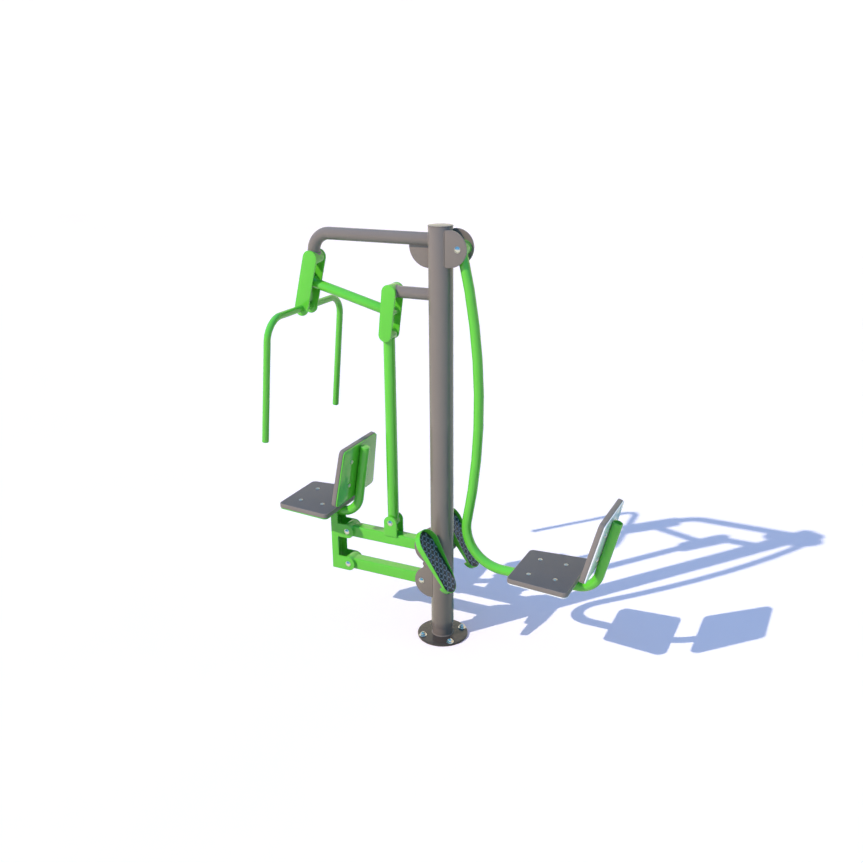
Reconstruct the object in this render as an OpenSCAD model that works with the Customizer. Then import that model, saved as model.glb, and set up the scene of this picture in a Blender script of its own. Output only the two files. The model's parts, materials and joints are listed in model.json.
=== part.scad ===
// Two-station outdoor gym unit on one post. The station on -X is a seated press: a hanging
// lever pushes a link, a rocker and a rod, and they raise the seat on two parallel arms.
// The station on +X is a leg press: a seat hangs on a long swing tube and faces two pedals.
// Lengths are millimetres. The origin is the post's axis at the ground, and +Z is up.

/* [Post and base] */
// Outer diameter of the post
post_d = 114.3; // [100:0.1:130]
// Wall of the post tube
post_wall = 4; // [3:0.5:6]
// Height of the top of the post above the ground, with its cap
post_top = 2080; // [2070:5:2200]
// Thickness of the cap on the post
cap_t = 6; // [3:1:12]
// How far the cap reaches past the post all round
cap_lip = 1; // [0:0.5:4]
// Diameter of the base flange
flange_d = 256; // [250:1:300]
// Thickness of the base flange
flange_t = 12; // [8:1:25]
// Height of the neck that shows between the flange and the post
neck_show = 49; // [20:1:120]
// Wall of the neck tube
neck_wall = 5; // [3:0.5:8]
// Length of the neck that is held inside the post
neck_held = 150; // [60:5:200]

/* [Anchor studs] */
// Number of anchor studs
anchor_count = 4; // [4:1:6]
// Diameter of the circle of anchor studs
anchor_pcd = 214; // [200:1:216]
// Radius of each anchor stud
anchor_r = 8; // [6:0.5:9]
// How much thinner a stud is inside the flange than below it
anchor_step = 1; // [0.5:0.25:2]
// Depth that each stud reaches below the ground
anchor_embed = 60; // [30:5:200]
// Radius of the washer under each cap nut
anchor_washer_r = 20; // [18:0.5:21]
// Thickness of the washer
anchor_washer_t = 3; // [2:0.5:5]
// Radius of the domed cap nut
anchor_nut_r = 14; // [12:0.5:17]
// Height of the straight side of the cap nut
anchor_nut_h = 10; // [6:1:16]
// Height of the dome on the cap nut
anchor_dome_h = 7; // [3:1:10]

/* [Pivots] */
// Radius of every pivot pin
pin_r = 8; // [6:0.5:9]
// Radius of the domed head and cap nut of a pivot pin
pin_head_r = 15; // [13:0.5:18]
// Height of the straight rim of a pivot head
pin_rim_h = 2; // [1:0.5:4]
// Height of the dome of a pivot head
pin_dome_h = 7; // [4:0.5:9]
// Metal left outside the pins that end blind in their plates
pin_skin = 2; // [1:0.5:4]
// Half the clear width between two pivot plates
fork_half = 37; // [34:0.5:40]
// Thickness of the pivot plates
plate_t = 8; // [5:0.5:12]
// Gap at each end of a pivot sleeve
side_gap = 1; // [0.5:0.1:2]
// Diameter of the bearing sleeves of the lever, the rocker and the swing
bearing_d = 71; // [64:0.5:74]
// Diameter of the sleeves on the ends of the parallel arms
arm_sleeve_d = 75; // [68:0.5:78]

/* [Lever and handlebar] */
// Distance of the lever's pivot from the post axis
lever_pivot_x = 670; // [640:1:700]
// Height of the lever's pivot
lever_pivot_z = 1895; // [1885:1:1905]
// Lean of the lever plates at rest, in degrees
lever_tilt = 14; // [10:0.5:18]
// Half the width of a lever plate
lever_half_w = 38; // [36:0.5:42]
// Distance from the lever's pivot to the handlebar
lever_bar_r = 252; // [240:1:280]
// Distance from the lever's pivot to the link's pin
lever_link_r = 119; // [105:1:130]
// Thickness of the web that closes the front of the lever
lever_web_t = 6; // [4:0.5:8]
// Distance from the lever's pivot to the top of the web
web_from_r = 58; // [50:1:80]
// Distance from the lever's pivot to the foot of the web
web_to_r = 214; // [180:1:222]
// Diameter of the handlebar tube
bar_d = 33.7; // [28:0.1:40]
// Wall of the handlebar tube
bar_wall = 3; // [2:0.5:4]
// Half the distance between the two grips
grip_half = 327; // [280:1:360]
// Bend radius of the handlebar
bar_bend_r = 103; // [80:1:130]
// Drop of the grips' ends below the crossbar, along the grips
grip_len = 607; // [500:1:650]
// Lean of the grips at rest, in degrees
grip_tilt = 5.7; // [3:0.1:9]

/* [Arms on the post] */
// Diameter of the two arms that carry the press
arm_d = 60.3; // [54:0.1:64]
// Wall of these arms
arm_wall = 3; // [2:0.5:5]
// Height of the top arm's centreline
top_arm_z = 2014; // [2010:1:2030]
// Bend radius of the top arm's centreline
top_bend_r = 90; // [70:1:98]
// Radius of the quarter-round gusset under the top arm
gusset_r = 100; // [80:1:110]
// Thickness of the gusset
gusset_t = 8; // [5:0.5:12]
// Diameter of the short arm that carries the rocker
rocker_arm_d = 57; // [50:0.5:60]

/* [Rocker, link and rod] */
// Distance of the rocker's pivot from the post axis
rocker_pivot_x = 248; // [235:1:260]
// Height of the rocker's pivot
rocker_pivot_z = 1764; // [1750:1:1775]
// Lean of the rocker plates at rest, in degrees
rocker_tilt = 7; // [4:0.5:10]
// Radius of the rocker plates' upper end
rocker_top_r = 36.5; // [35.5:0.5:40]
// Radius of the rocker plates' lower end
rocker_low_r = 33; // [30:0.5:36]
// Distance from the rocker's pivot to the link's pin
rocker_link_r = 100; // [95:1:108]
// Distance from the rocker's pivot to the rod's pin
rocker_rod_r = 205.5; // [195:0.5:215]
// Diameter of the link tube and its two sleeves
link_d = 48.3; // [42:0.1:52]
// Wall of the link tube
link_wall = 3; // [2:0.5:4]
// Diameter of the rod and its sleeves
rod_d = 57; // [50:0.5:58]
// Wall of the rod
rod_wall = 3; // [2:0.5:5]
// Clearance of the link's pin at the rocker, which takes up the linkage's small misfit
link_play = 0.6; // [0.4:0.05:1]
// Clearance of the rod's pin at the rocker, which takes up the linkage's larger misfit
rod_play = 4.9; // [4.5:0.1:6]
// Distance that the rod's upper sleeve hangs below its pin at rest
rod_hang = 3.9; // [3:0.1:4]

/* [Parallel arms] */
// Distance of the arms' post pivots from the post axis
arm_pivot_x = 96; // [94:0.5:100]
// Height of the upper arm's pivots
upper_arm_z = 493; // [485:1:500]
// Height of the lower arm's pivots
lower_arm_z = 307; // [300:1:315]
// Length of both arms between their pivots
arm_len = 430; // [400:1:450]
// Height and width of the square arm tube
square_w = 60; // [54:1:64]
// Wall of the square arm tube
square_wall = 3; // [2:0.5:5]
// Distance from the upper arm's post pivot to the fork that holds the rod
fork_x = 177; // [170:1:185]
// Height of the rod's lower pin above the upper arm's centreline
fork_rise = 94; // [88:1:100]
// Half the width of the fork's ears
fork_ear_half = 36; // [34:0.5:40]
// Distance that the ears reach down over the arm's sides
fork_lap = 9; // [5:1:20]
// Radius of the stop lug between the two arms
stop_r = 15; // [11:0.5:17]
// Distance of the stop lug's centre from the post axis
stop_x = 78; // [74:1:80]

/* [Cheeks on the post] */
// Radius of the round cheek plates
cheek_r = 83; // [80:1:90]
// Distance of the arm cheeks' centres from the post axis
arm_cheek_x = 50; // [44:1:56]
// Distance of the swing cheeks' centres from the post axis
swing_cheek_x = 62; // [56:1:68]

/* [Seat bracket] */
// Distance from the arm pivots to the bracket's outer edge
bracket_reach = 94; // [88:1:100]
// Thickness of the web on the bracket's outer edge
bracket_web_t = 6; // [4:0.5:8]
// Width of the bracket's upright strips
bracket_strip = 39; // [30:1:42]
// Radius of the bracket's ears
ear_r = 37.5; // [36:0.5:40]

/* [Seats] */
// Length of every seat and back panel
panel_len = 304; // [284:1:320]
// Half the width of a panel at its free end
panel_free_half = 167; // [152:1:175]
// Half the width of a panel at the end next to the other panel
panel_hinge_half = 192; // [178:1:200]
// Thickness of a panel
panel_t = 24; // [18:1:27]
// Corner radius of a panel
panel_corner_r = 24; // [15:1:40]
// Thickness of the steel plate behind a panel
backing_t = 6; // [4:0.5:8]
// Distance that the steel plate stays inside the panel's edge
backing_inset = 3; // [1:1:10]
// Diameter of the seat tubes
seat_tube_d = 48.3; // [42:0.1:51]
// Wall of the seat tubes
seat_tube_wall = 3; // [2:0.5:4]
// Bend radius between seat and back
seat_bend_r = 105; // [90:1:115]
// Length of the straight tube behind a back panel
upright_len = 288; // [250:1:320]
// Distance from a panel's free end to its first row of bolts
bolt_first = 82; // [60:1:95]
// Distance between the two rows of bolts
bolt_pitch = 131; // [110:1:140]
// Half the distance between the bolts of one row
bolt_half = 82; // [70:1:95]
// Radius of a panel bolt
bolt_r = 5; // [4:0.5:6]
// Radius of a panel bolt's head
bolt_head_r = 11; // [9:0.5:13]
// Height of a panel bolt's domed head
bolt_head_h = 5; // [3:0.5:7]
// Height of a panel bolt's nut
bolt_nut_h = 8; // [5:0.5:10]

/* [Press seat] */
// Height of the press seat's top
press_seat_z = 643; // [636:0.5:650]
// Distance of the press seat's free end from the post axis
press_seat_front = 856; // [845:1:865]
// Distance of the bend behind the press seat from the post axis
press_bend_x = 574; // [570:1:580]
// Lean of the press seat's back, in degrees
press_lean = 9; // [6:0.5:12]
// Distance from the bend to the foot of the back panel
press_panel_gap = 5; // [3:1:20]
// Distance from the seat's free end to the end of its tube
press_tube_inset = 60; // [30:1:100]

/* [Leg press seat] */
// Height of the swing's pivot
swing_pivot_z = 1981; // [1970:1:1986]
// Radius of the swing tube's long curve
swing_arc_r = 3000; // [2900:10:3100]
// Greatest distance of the long curve from the post axis
swing_crown_x = 192; // [188:1:196]
// Height of that widest place
swing_crown_z = 1250; // [1230:5:1270]
// Bend radius in front of the leg press seat
swing_bend_r = 196; // [180:1:205]
// Height of the leg press seat's top
leg_seat_z = 492; // [484:1:498]
// Distance of the leg press seat's free end from the post axis
leg_seat_front = 406; // [398:1:412]
// Distance of the bend behind the leg press seat from the post axis
leg_bend_x = 703; // [698:1:715]
// Lean of the leg press seat's back, in degrees
leg_lean = 14.3; // [12:0.1:17]
// Distance from the bend to the foot of the back panel
leg_panel_gap = 28; // [22:1:40]

/* [Pedals] */
// Distance of the pedals' centre lines from the post's middle
pedal_y = 146; // [140:1:155]
// Distance of a pedal's middle from the post axis
pedal_x = 37; // [32:1:44]
// Height of a pedal's middle
pedal_z = 488; // [480:1:496]
// Lean of the pedals, in degrees
pedal_lean = 34; // [30:0.5:37]
// Length of a pedal
pedal_len = 338; // [310:1:350]
// Radius of a pedal's toe end
pedal_toe_r = 73; // [66:1:76]
// Radius of a pedal's heel end
pedal_heel_r = 62; // [54:1:66]
// Wall of a pedal's rim
pedal_wall = 4; // [3:0.5:6]
// Thickness of a pedal's base
pedal_base_t = 6; // [4:0.5:8]
// Height of the rim above the base on the side next to the post
pedal_rim_h = 31; // [28:1:40]
// Height of the rim above the base on the side away from the post
pedal_rim_low_h = 21; // [16:1:26]
// Share of the pedal's length, from the toe, that has a rim
pedal_rim_share = 0.9; // [0.8:0.05:0.95]
// Share of the pedal's length, from the toe, over which the rim keeps its height
pedal_flat_share = 0.45; // [0.3:0.05:0.6]
// Depth of the block under the heel
pedal_heel_depth = 22; // [12:1:26]
// Length of the block under the heel
pedal_heel_len = 55; // [35:1:70]
// Thickness of the tread
tread_t = 5; // [3:0.5:8]
// Diameter of the bar that carries the pedals
pedal_bar_d = 48.3; // [38:0.1:50]
// Distance that the bar ends short of a pedal's outer edge
pedal_bar_inset = 50; // [20:1:70]

/* [Fits] */
// Radial clearance of a pin that turns in its bore
running_gap = 0.08; // [0.03:0.01:0.1]
// Radial clearance of a bolt or pin in a plate that it is fixed to
bolt_gap = 0.3; // [0.2:0.05:0.6]
// Gap left at a welded seam
weld_gap = 0.1; // [0.05:0.05:0.3]
// Radial clearance of the neck in the post
neck_gap = 0.3; // [0.2:0.05:0.6]

/* [Hidden] */
$fn = 64;
// Sides of a full circle as large as the swing tube's long curve
long_sides = 720;
// Steps along each round end of a pedal
arc_steps = 24;
// Overrun of cuts past the faces that they cut
over = 2;
green = [0.30, 0.78, 0.26];
brown = [0.53, 0.49, 0.46];
bright = [0.80, 0.80, 0.80];
dark = [0.28, 0.28, 0.31];
tread_grey = [0.20, 0.21, 0.26];
white = [0.95, 0.95, 0.95];

post_r = post_d / 2;
sleeve_half = fork_half - side_gap;
fork_outer = fork_half + plate_t;
bearing_r = bearing_d / 2;
arm_sleeve_r = arm_sleeve_d / 2;
link_r = link_d / 2;
rod_r = rod_d / 2;
square_half = square_w / 2;
seat_tube_r = seat_tube_d / 2;

// Places in the plane of the post and the two seats, each as [x, z].
function toward(p, tilt, r) = [p[0] - r * sin(tilt), p[1] - r * cos(tilt)];
lever_pivot = [-lever_pivot_x, lever_pivot_z];
lever_link = toward(lever_pivot, lever_tilt, lever_link_r);
lever_bar = toward(lever_pivot, lever_tilt, lever_bar_r);
rocker_pivot = [-rocker_pivot_x, rocker_pivot_z];
rocker_link = toward(rocker_pivot, rocker_tilt, rocker_link_r);
rocker_rod = toward(rocker_pivot, rocker_tilt, rocker_rod_r);
upper_post = [-arm_pivot_x, upper_arm_z];
lower_post = [-arm_pivot_x, lower_arm_z];
upper_seat = [-arm_pivot_x - arm_len, upper_arm_z];
lower_seat = [-arm_pivot_x - arm_len, lower_arm_z];
rod_low = [-arm_pivot_x - fork_x, upper_arm_z + fork_rise];
rod_high = [rocker_rod[0], rocker_rod[1] - rod_hang];
stop_at = [-stop_x, (upper_arm_z + lower_arm_z) / 2];

// The swing tube: a long curve that bulges away from the post, then a bend the other way.
arc_centre = [swing_crown_x - swing_arc_r, swing_crown_z];
pivot_rise = swing_pivot_z - swing_crown_z;
swing_pivot = [arc_centre[0] + sqrt(pow(swing_arc_r, 2) - pow(pivot_rise, 2)), swing_pivot_z];
leg_tube_z = leg_seat_z - panel_t - backing_t - weld_gap - seat_tube_r;
bend_z = leg_tube_z + swing_bend_r;
centre_span = swing_arc_r + swing_bend_r;
bend_drop = bend_z - swing_crown_z;
bend_centre = [arc_centre[0] + sqrt(pow(centre_span, 2) - pow(bend_drop, 2)), bend_z];
meet_angle = atan2(bend_drop, bend_centre[0] - arc_centre[0]);
pivot_angle = asin(pivot_rise / swing_arc_r);

press_tube_z = press_seat_z - panel_t - backing_t - weld_gap - seat_tube_r;
backing_gap = seat_tube_r + weld_gap;

// Shared shapes

// Moves to a place [x, z] in the middle plane.
module at(p) {
    translate([p[0], 0, p[1]]) children();
}

// A round bar across the unit, centred on the middle plane.
module across(p, half, r) {
    at(p) rotate([90, 0, 0]) cylinder(h = half * 2, r = r, center = true);
}

// A flat outline drawn in x and z, made solid between two distances from the middle plane.
module side_plates(inner, thickness) {
    for (side = [-1, 1])
        translate([0, side * (inner + thickness / 2), 0])
            rotate([90, 0, 0]) linear_extrude(thickness, center = true) children();
}

// An outline with round ends of two radii.
module round_ended(p, q, p_r, q_r) {
    span = norm(q - p);
    a = asin((p_r - q_r) / span);
    translate(p) rotate(atan2(q[1] - p[1], q[0] - p[0])) {
        circle(r = p_r);
        translate([span, 0]) circle(r = q_r);
        polygon([
            [p_r * sin(a), p_r * cos(a)], [span + q_r * sin(a), q_r * cos(a)],
            [span + q_r * sin(a), -q_r * cos(a)], [p_r * sin(a), -p_r * cos(a)]
        ]);
    }
}

// Points along an arc about a place on the x axis.
function arc_points(x, r, from, to) =
    [for (i = [0 : arc_steps]) [x, 0] + r * [cos(from + (to - from) * i / arc_steps),
        sin(from + (to - from) * i / arc_steps)]];

// The cross-section of a tube.
module ring(d, wall) {
    difference() {
        circle(d = d, $fn = 64);
        circle(d = d - wall * 2, $fn = 64);
    }
}

// A straight tube from one place [x, z] to another.
module straight(p, q, d, wall) {
    at(p) rotate([0, atan2(q[0] - p[0], q[1] - p[1]), 0]) linear_extrude(norm(q - p)) ring(d, wall);
}

// A bent tube in the middle plane. Angles run from +X towards +Z.
module bend(centre, r, from, sweep, d, wall, sides = $fn) {
    at(centre) rotate([90, 0, 0]) rotate([0, 0, from])
        rotate_extrude(angle = sweep, $fn = sides) translate([r, 0]) ring(d, wall);
}

// A round bar from one place [x, z] to another, used to cut a tube's seat.
module rod_cutter(p, q, r) {
    at(p) rotate([0, atan2(q[0] - p[0], q[1] - p[1]), 0]) cylinder(h = norm(q - p), r = r);
}

// A domed head that stands on z = 0.
module domed_head(r, rim_h, dome_h) {
    dome_r = (pow(r, 2) + pow(dome_h, 2)) / (dome_h * 2);
    cylinder(h = rim_h, r = r);
    translate([0, 0, rim_h]) rotate_extrude() intersection() {
        translate([0, dome_h - dome_r]) circle(r = dome_r);
        square([r, dome_h]);
    }
}

// A pivot pin through a fork, with a domed head at each side.
module pivot_pin(p, outer) {
    across(p, outer, pin_r);
    for (side = [-1, 1])
        at(p) translate([0, side * outer, 0]) rotate([side * -90, 0, 0])
            domed_head(pin_head_r, pin_rim_h, pin_dome_h);
}

// A pivot pin that ends blind inside the two plates of a fork.
module blind_pin(p) {
    across(p, fork_outer - pin_skin - bolt_gap, pin_r);
}

// The bores in a fork's plates for a blind pin.
module blind_bores(p) {
    across(p, fork_outer - pin_skin, pin_r + bolt_gap);
}

// A sleeve across the unit with a bore.
module sleeve(p, half, r, bore_r) {
    difference() {
        across(p, half, r);
        across(p, half + over, bore_r);
    }
}

// The post as a cutter for what is welded to it.
module post_cutter() {
    translate([0, 0, flange_t]) cylinder(h = post_top, r = post_r + weld_gap);
}

// Base and post

module base_flange() {
    color(dark) difference() {
        cylinder(h = flange_t, d = flange_d);
        anchor_places() translate([0, 0, -over])
            cylinder(h = flange_t + over * 2, r = anchor_r + bolt_gap);
    }
}

module anchor_places() {
    step = 360 / anchor_count;
    for (i = [0 : anchor_count - 1])
        rotate(step * (i + 0.5)) translate([anchor_pcd / 2, 0, 0]) children();
}

module anchor_studs() {
    color(bright) anchor_places() {
        translate([0, 0, -anchor_embed]) cylinder(h = anchor_embed, r = anchor_r);
        cylinder(h = flange_t + anchor_washer_t, r = anchor_r - anchor_step);
        translate([0, 0, flange_t]) cylinder(h = anchor_washer_t, r = anchor_washer_r);
        translate([0, 0, flange_t + anchor_washer_t])
            domed_head(anchor_nut_r, anchor_nut_h, anchor_dome_h);
    }
}

module neck_tube() {
    outer = post_r - post_wall - neck_gap;
    color(dark) translate([0, 0, flange_t]) difference() {
        cylinder(h = neck_show + neck_held, r = outer);
        translate([0, 0, -over]) cylinder(h = neck_show + neck_held + over * 2, r = outer - neck_wall);
    }
}

module post() {
    low = flange_t + neck_show;
    color(brown) translate([0, 0, low]) difference() {
        cylinder(h = post_top - cap_t - low, r = post_r);
        translate([0, 0, -over]) cylinder(h = post_top, r = post_r - post_wall);
    }
}

module post_cap() {
    color(brown) translate([0, 0, post_top - cap_t]) cylinder(h = cap_t, r = post_r + cap_lip);
}

// Arms and bearings that carry the press

module top_arm() {
    corner = [-lever_pivot_x + top_bend_r, top_arm_z - top_bend_r];
    color(brown) difference() {
        union() {
            straight([0, top_arm_z], [corner[0], top_arm_z], arm_d, arm_wall);
            bend(corner, top_bend_r, 90, 90, arm_d, arm_wall);
            straight([-lever_pivot_x, corner[1]], lever_pivot, arm_d, arm_wall);
        }
        post_cutter();
        across(lever_pivot, fork_half, bearing_r + weld_gap);
    }
}

module top_arm_gusset() {
    low = top_arm_z - gusset_r - arm_d / 2;
    color(brown) difference() {
        at([-post_r, top_arm_z - arm_d / 2]) rotate([90, 0, 0])
            cylinder(h = gusset_t, r = gusset_r, center = true);
        rod_cutter([0, top_arm_z], [-lever_pivot_x, top_arm_z], arm_d / 2 + weld_gap);
        translate([-lever_pivot_x, -gusset_t, top_arm_z])
            cube([lever_pivot_x * 2, gusset_t * 2, gusset_r * 2]);
        post_cutter();
        translate([0, -gusset_t, low]) cube([gusset_r * 2, gusset_t * 2, gusset_r * 2]);
    }
}

module lever_bearing() {
    color(green) sleeve(lever_pivot, sleeve_half, bearing_r, pin_r + running_gap);
}

module rocker_arm() {
    color(brown) difference() {
        straight([0, rocker_pivot_z], rocker_pivot, rocker_arm_d, arm_wall);
        post_cutter();
        across(rocker_pivot, fork_half, bearing_r + weld_gap);
    }
}

module rocker_bearing() {
    color(green) sleeve(rocker_pivot, sleeve_half, bearing_r, pin_r + running_gap);
}

// Cheeks, stop and pins on the post

module cheek_pair(centre, pivot) {
    difference() {
        side_plates(fork_half, plate_t) translate(centre) circle(r = cheek_r);
        post_cutter();
        across(pivot, fork_outer + over, pin_r + bolt_gap);
    }
}

module swing_cheeks() {
    color(brown) cheek_pair([swing_cheek_x, swing_pivot_z], swing_pivot);
}

module arm_cheeks() {
    color(brown) {
        cheek_pair([-arm_cheek_x, upper_arm_z], upper_post);
        cheek_pair([-arm_cheek_x, lower_arm_z], lower_post);
    }
}

module stop_lug() {
    color(brown) difference() {
        union() {
            across(stop_at, sleeve_half, stop_r);
            at(stop_at) translate([0, -sleeve_half, -stop_r])
                cube([stop_x, sleeve_half * 2, stop_r * 2]);
        }
        post_cutter();
    }
}

module swing_pin() {
    color(bright) pivot_pin(swing_pivot, fork_outer);
}

module upper_post_pin() {
    color(bright) pivot_pin(upper_post, fork_outer);
}

module lower_post_pin() {
    color(bright) pivot_pin(lower_post, fork_outer);
}

// Pedals. A pedal lies on its back in its own frame: x runs to the toe and z out of the tread.

module at_pedal(side) {
    translate([pedal_x, side * pedal_y, pedal_z]) rotate([0, -90 - pedal_lean, 0])
        mirror([0, 0, 1]) children();
}

module pedal_outline(inset) {
    heel = -pedal_len / 2 + pedal_heel_r;
    toe = pedal_len / 2 - pedal_toe_r;
    a = acos((pedal_heel_r - pedal_toe_r) / (toe - heel));
    polygon(concat(
        arc_points(heel, pedal_heel_r - inset, a, 360 - a),
        arc_points(toe, pedal_toe_r - inset, -a, a)
    ));
}

module pedal_body(side) {
    toe_end = pedal_len / 2;
    slope = atan2(pedal_rim_h, pedal_len * (pedal_rim_share - pedal_flat_share));
    side_slope = atan2(pedal_rim_h - pedal_rim_low_h, pedal_toe_r * 2);
    translate([0, 0, -pedal_base_t]) linear_extrude(pedal_base_t) pedal_outline(0);
    difference() {
        linear_extrude(pedal_rim_h) difference() {
            pedal_outline(0);
            pedal_outline(pedal_wall);
        }
        translate([toe_end - pedal_len * pedal_rim_share, -pedal_len, 0]) rotate([0, -slope, 0])
            translate([-pedal_len, 0, 0]) cube([pedal_len * 3, pedal_len * 2, pedal_len]);
        translate([-pedal_len, -side * pedal_toe_r, pedal_rim_h]) rotate([-side * side_slope, 0, 0])
            translate([0, -pedal_len, 0]) cube([pedal_len * 2, pedal_len * 2, pedal_len]);
    }
    translate([0, 0, -pedal_base_t - pedal_heel_depth]) linear_extrude(pedal_heel_depth) intersection() {
        pedal_outline(0);
        translate([-pedal_len / 2, -pedal_len / 2]) square([pedal_heel_len, pedal_len]);
    }
}

module near_pedal() {
    color(green) at_pedal(-1) pedal_body(-1);
}

module far_pedal() {
    color(green) at_pedal(1) pedal_body(1);
}

module pedal_tread() {
    linear_extrude(tread_t) pedal_outline(pedal_wall + bolt_gap);
}

module near_tread() {
    color(tread_grey) at_pedal(-1) pedal_tread();
}

module far_tread() {
    color(tread_grey) at_pedal(1) pedal_tread();
}

module pedal_bars() {
    back = pedal_base_t + weld_gap + pedal_bar_d / 2;
    outer = pedal_y + pedal_toe_r - pedal_bar_inset;
    place = [pedal_x - back * cos(pedal_lean), pedal_z - back * sin(pedal_lean)];
    color(brown) difference() {
        across(place, outer, pedal_bar_d / 2);
        post_cutter();
    }
}

// Lever

module lever_plates() {
    color(green) difference() {
        union() {
            side_plates(fork_half, plate_t)
                round_ended(lever_pivot, lever_bar, lever_half_w, lever_half_w);
            at(lever_pivot) rotate([0, lever_tilt, 0])
                translate([-lever_half_w, -fork_half, -web_to_r])
                    cube([lever_web_t, fork_half * 2, web_to_r - web_from_r]);
        }
        blind_bores(lever_pivot);
        blind_bores(lever_link);
        across(lever_bar, fork_outer + over, bar_d / 2 + weld_gap);
    }
}

module lever_pin() {
    color(bright) blind_pin(lever_pivot);
}

module lever_link_pin() {
    color(bright) blind_pin(lever_link);
}

// The handlebar in its own frame has y along the crossbar and z down the grips.
module handlebar() {
    reach = grip_half - bar_bend_r;
    color(green) at(lever_bar) rotate([0, grip_tilt, 0]) {
        rotate([90, 0, 0]) linear_extrude(reach * 2, center = true) ring(bar_d, bar_wall);
        for (side = [-1, 1]) {
            translate([0, side * reach, -bar_bend_r]) rotate([0, -90, 0])
                rotate([0, 0, side > 0 ? 0 : -90])
                    rotate_extrude(angle = 90) translate([bar_bend_r, 0]) ring(bar_d, bar_wall);
            translate([0, side * grip_half, -grip_len])
                linear_extrude(grip_len - bar_bend_r) ring(bar_d, bar_wall);
        }
    }
}

module grip_ends() {
    color(green) at(lever_bar) rotate([0, grip_tilt, 0]) for (side = [-1, 1])
        translate([0, side * grip_half, -grip_len - bar_wall]) cylinder(h = bar_wall, d = bar_d);
}

// Link, rocker and rod

module link_tube() {
    color(green) difference() {
        straight(lever_link, rocker_link, link_d, link_wall);
        across(lever_link, fork_half, link_r + weld_gap);
        across(rocker_link, fork_half, link_r + weld_gap);
    }
}

module link_sleeves() {
    color(green) {
        sleeve(lever_link, sleeve_half, link_r, pin_r + running_gap);
        sleeve(rocker_link, sleeve_half, link_r, pin_r + link_play);
    }
}

module rocker_plates() {
    color(green) difference() {
        side_plates(fork_half, plate_t)
            round_ended(rocker_pivot, rocker_rod, rocker_top_r, rocker_low_r);
        blind_bores(rocker_pivot);
        blind_bores(rocker_link);
        blind_bores(rocker_rod);
    }
}

module rocker_pin() {
    color(bright) blind_pin(rocker_pivot);
}

module rocker_link_pin() {
    color(bright) blind_pin(rocker_link);
}

module rocker_rod_pin() {
    color(bright) blind_pin(rocker_rod);
}

module rod_tube() {
    color(green) difference() {
        straight(rod_low, rod_high, rod_d, rod_wall);
        across(rod_low, fork_half, rod_r + weld_gap);
        across(rod_high, fork_half, rod_r + weld_gap);
    }
}

module rod_sleeves() {
    color(green) {
        sleeve(rod_low, square_half - side_gap, rod_r, pin_r + running_gap);
        sleeve(rod_high, sleeve_half, rod_r, pin_r + rod_play);
    }
}

// Parallel arms

module square_arm(post_end, seat_end) {
    color(green) difference() {
        at(seat_end) translate([0, -square_half, -square_half]) cube([arm_len, square_w, square_w]);
        at(seat_end) translate([-over, square_wall - square_half, square_wall - square_half])
            cube([arm_len + over * 2, square_w - square_wall * 2, square_w - square_wall * 2]);
        across(post_end, fork_half, arm_sleeve_r + weld_gap);
        across(seat_end, fork_half, arm_sleeve_r + weld_gap);
    }
}

module arm_sleeves(post_end, seat_end) {
    color(green) for (p = [post_end, seat_end])
        sleeve(p, sleeve_half, arm_sleeve_r, pin_r + running_gap);
}

module upper_arm() {
    square_arm(upper_post, upper_seat);
}

module upper_arm_sleeves() {
    arm_sleeves(upper_post, upper_seat);
}

module lower_arm() {
    square_arm(lower_post, lower_seat);
}

module lower_arm_sleeves() {
    arm_sleeves(lower_post, lower_seat);
}

module rod_fork() {
    foot = upper_arm_z + square_half - fork_lap;
    color(green) difference() {
        side_plates(square_half, plate_t) {
            translate(rod_low) circle(r = fork_ear_half);
            translate([rod_low[0] - fork_ear_half, foot])
                square([fork_ear_half * 2, rod_low[1] - foot]);
        }
        across(rod_low, fork_outer, pin_r + bolt_gap);
    }
}

module rod_fork_pin() {
    color(bright) pivot_pin(rod_low, square_half + plate_t);
}

// Seat bracket

module bracket_ear(p) {
    round_ended([p[0] - bracket_reach + ear_r, p[1]], p, ear_r, ear_r);
}

module seat_bracket() {
    edge = upper_seat[0] - bracket_reach;
    foot = lower_arm_z - ear_r;
    top = press_tube_z + backing_gap;
    color(green) difference() {
        union() {
            side_plates(fork_half, plate_t) {
                translate([edge, foot]) square([bracket_strip, top - foot]);
                bracket_ear(upper_seat);
                bracket_ear(lower_seat);
            }
            translate([edge, -fork_half, foot])
                cube([bracket_web_t, fork_half * 2, press_tube_z - backing_gap - foot]);
        }
        across(upper_seat, fork_outer + over, pin_r + bolt_gap);
        across(lower_seat, fork_outer + over, pin_r + bolt_gap);
    }
}

module upper_seat_pin() {
    color(bright) pivot_pin(upper_seat, fork_outer);
}

module lower_seat_pin() {
    color(bright) pivot_pin(lower_seat, fork_outer);
}

// Seats. A panel lies in its own frame: x runs from its free end, and z out of its face.

function edge_normal(a, b) = [b[1] - a[1], a[0] - b[0]] / norm(b - a);

module rounded_outline(points, r) {
    n = len(points);
    normals = [for (i = [0 : n - 1]) edge_normal(points[i], points[(i + 1) % n])];
    before = [for (i = [0 : n - 1]) normals[(i + n - 1) % n]];
    centres = [for (i = [0 : n - 1])
        points[i] - r * (normals[i] + before[i]) / (1 + normals[i] * before[i])];
    polygon([for (i = [0 : n - 1]) for (side = [before[i], normals[i]]) centres[i] + r * side]);
    for (c = centres) translate(c) circle(r = r);
}

module panel_outline(inset) {
    rounded_outline([
        [inset, -panel_free_half + inset], [panel_len - inset, -panel_hinge_half + inset],
        [panel_len - inset, panel_hinge_half - inset], [inset, panel_free_half - inset]
    ], panel_corner_r - inset);
}

module bolt_places() {
    for (x = [bolt_first, bolt_first + bolt_pitch], y = [-bolt_half, bolt_half])
        translate([x, y, 0]) children();
}

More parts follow.
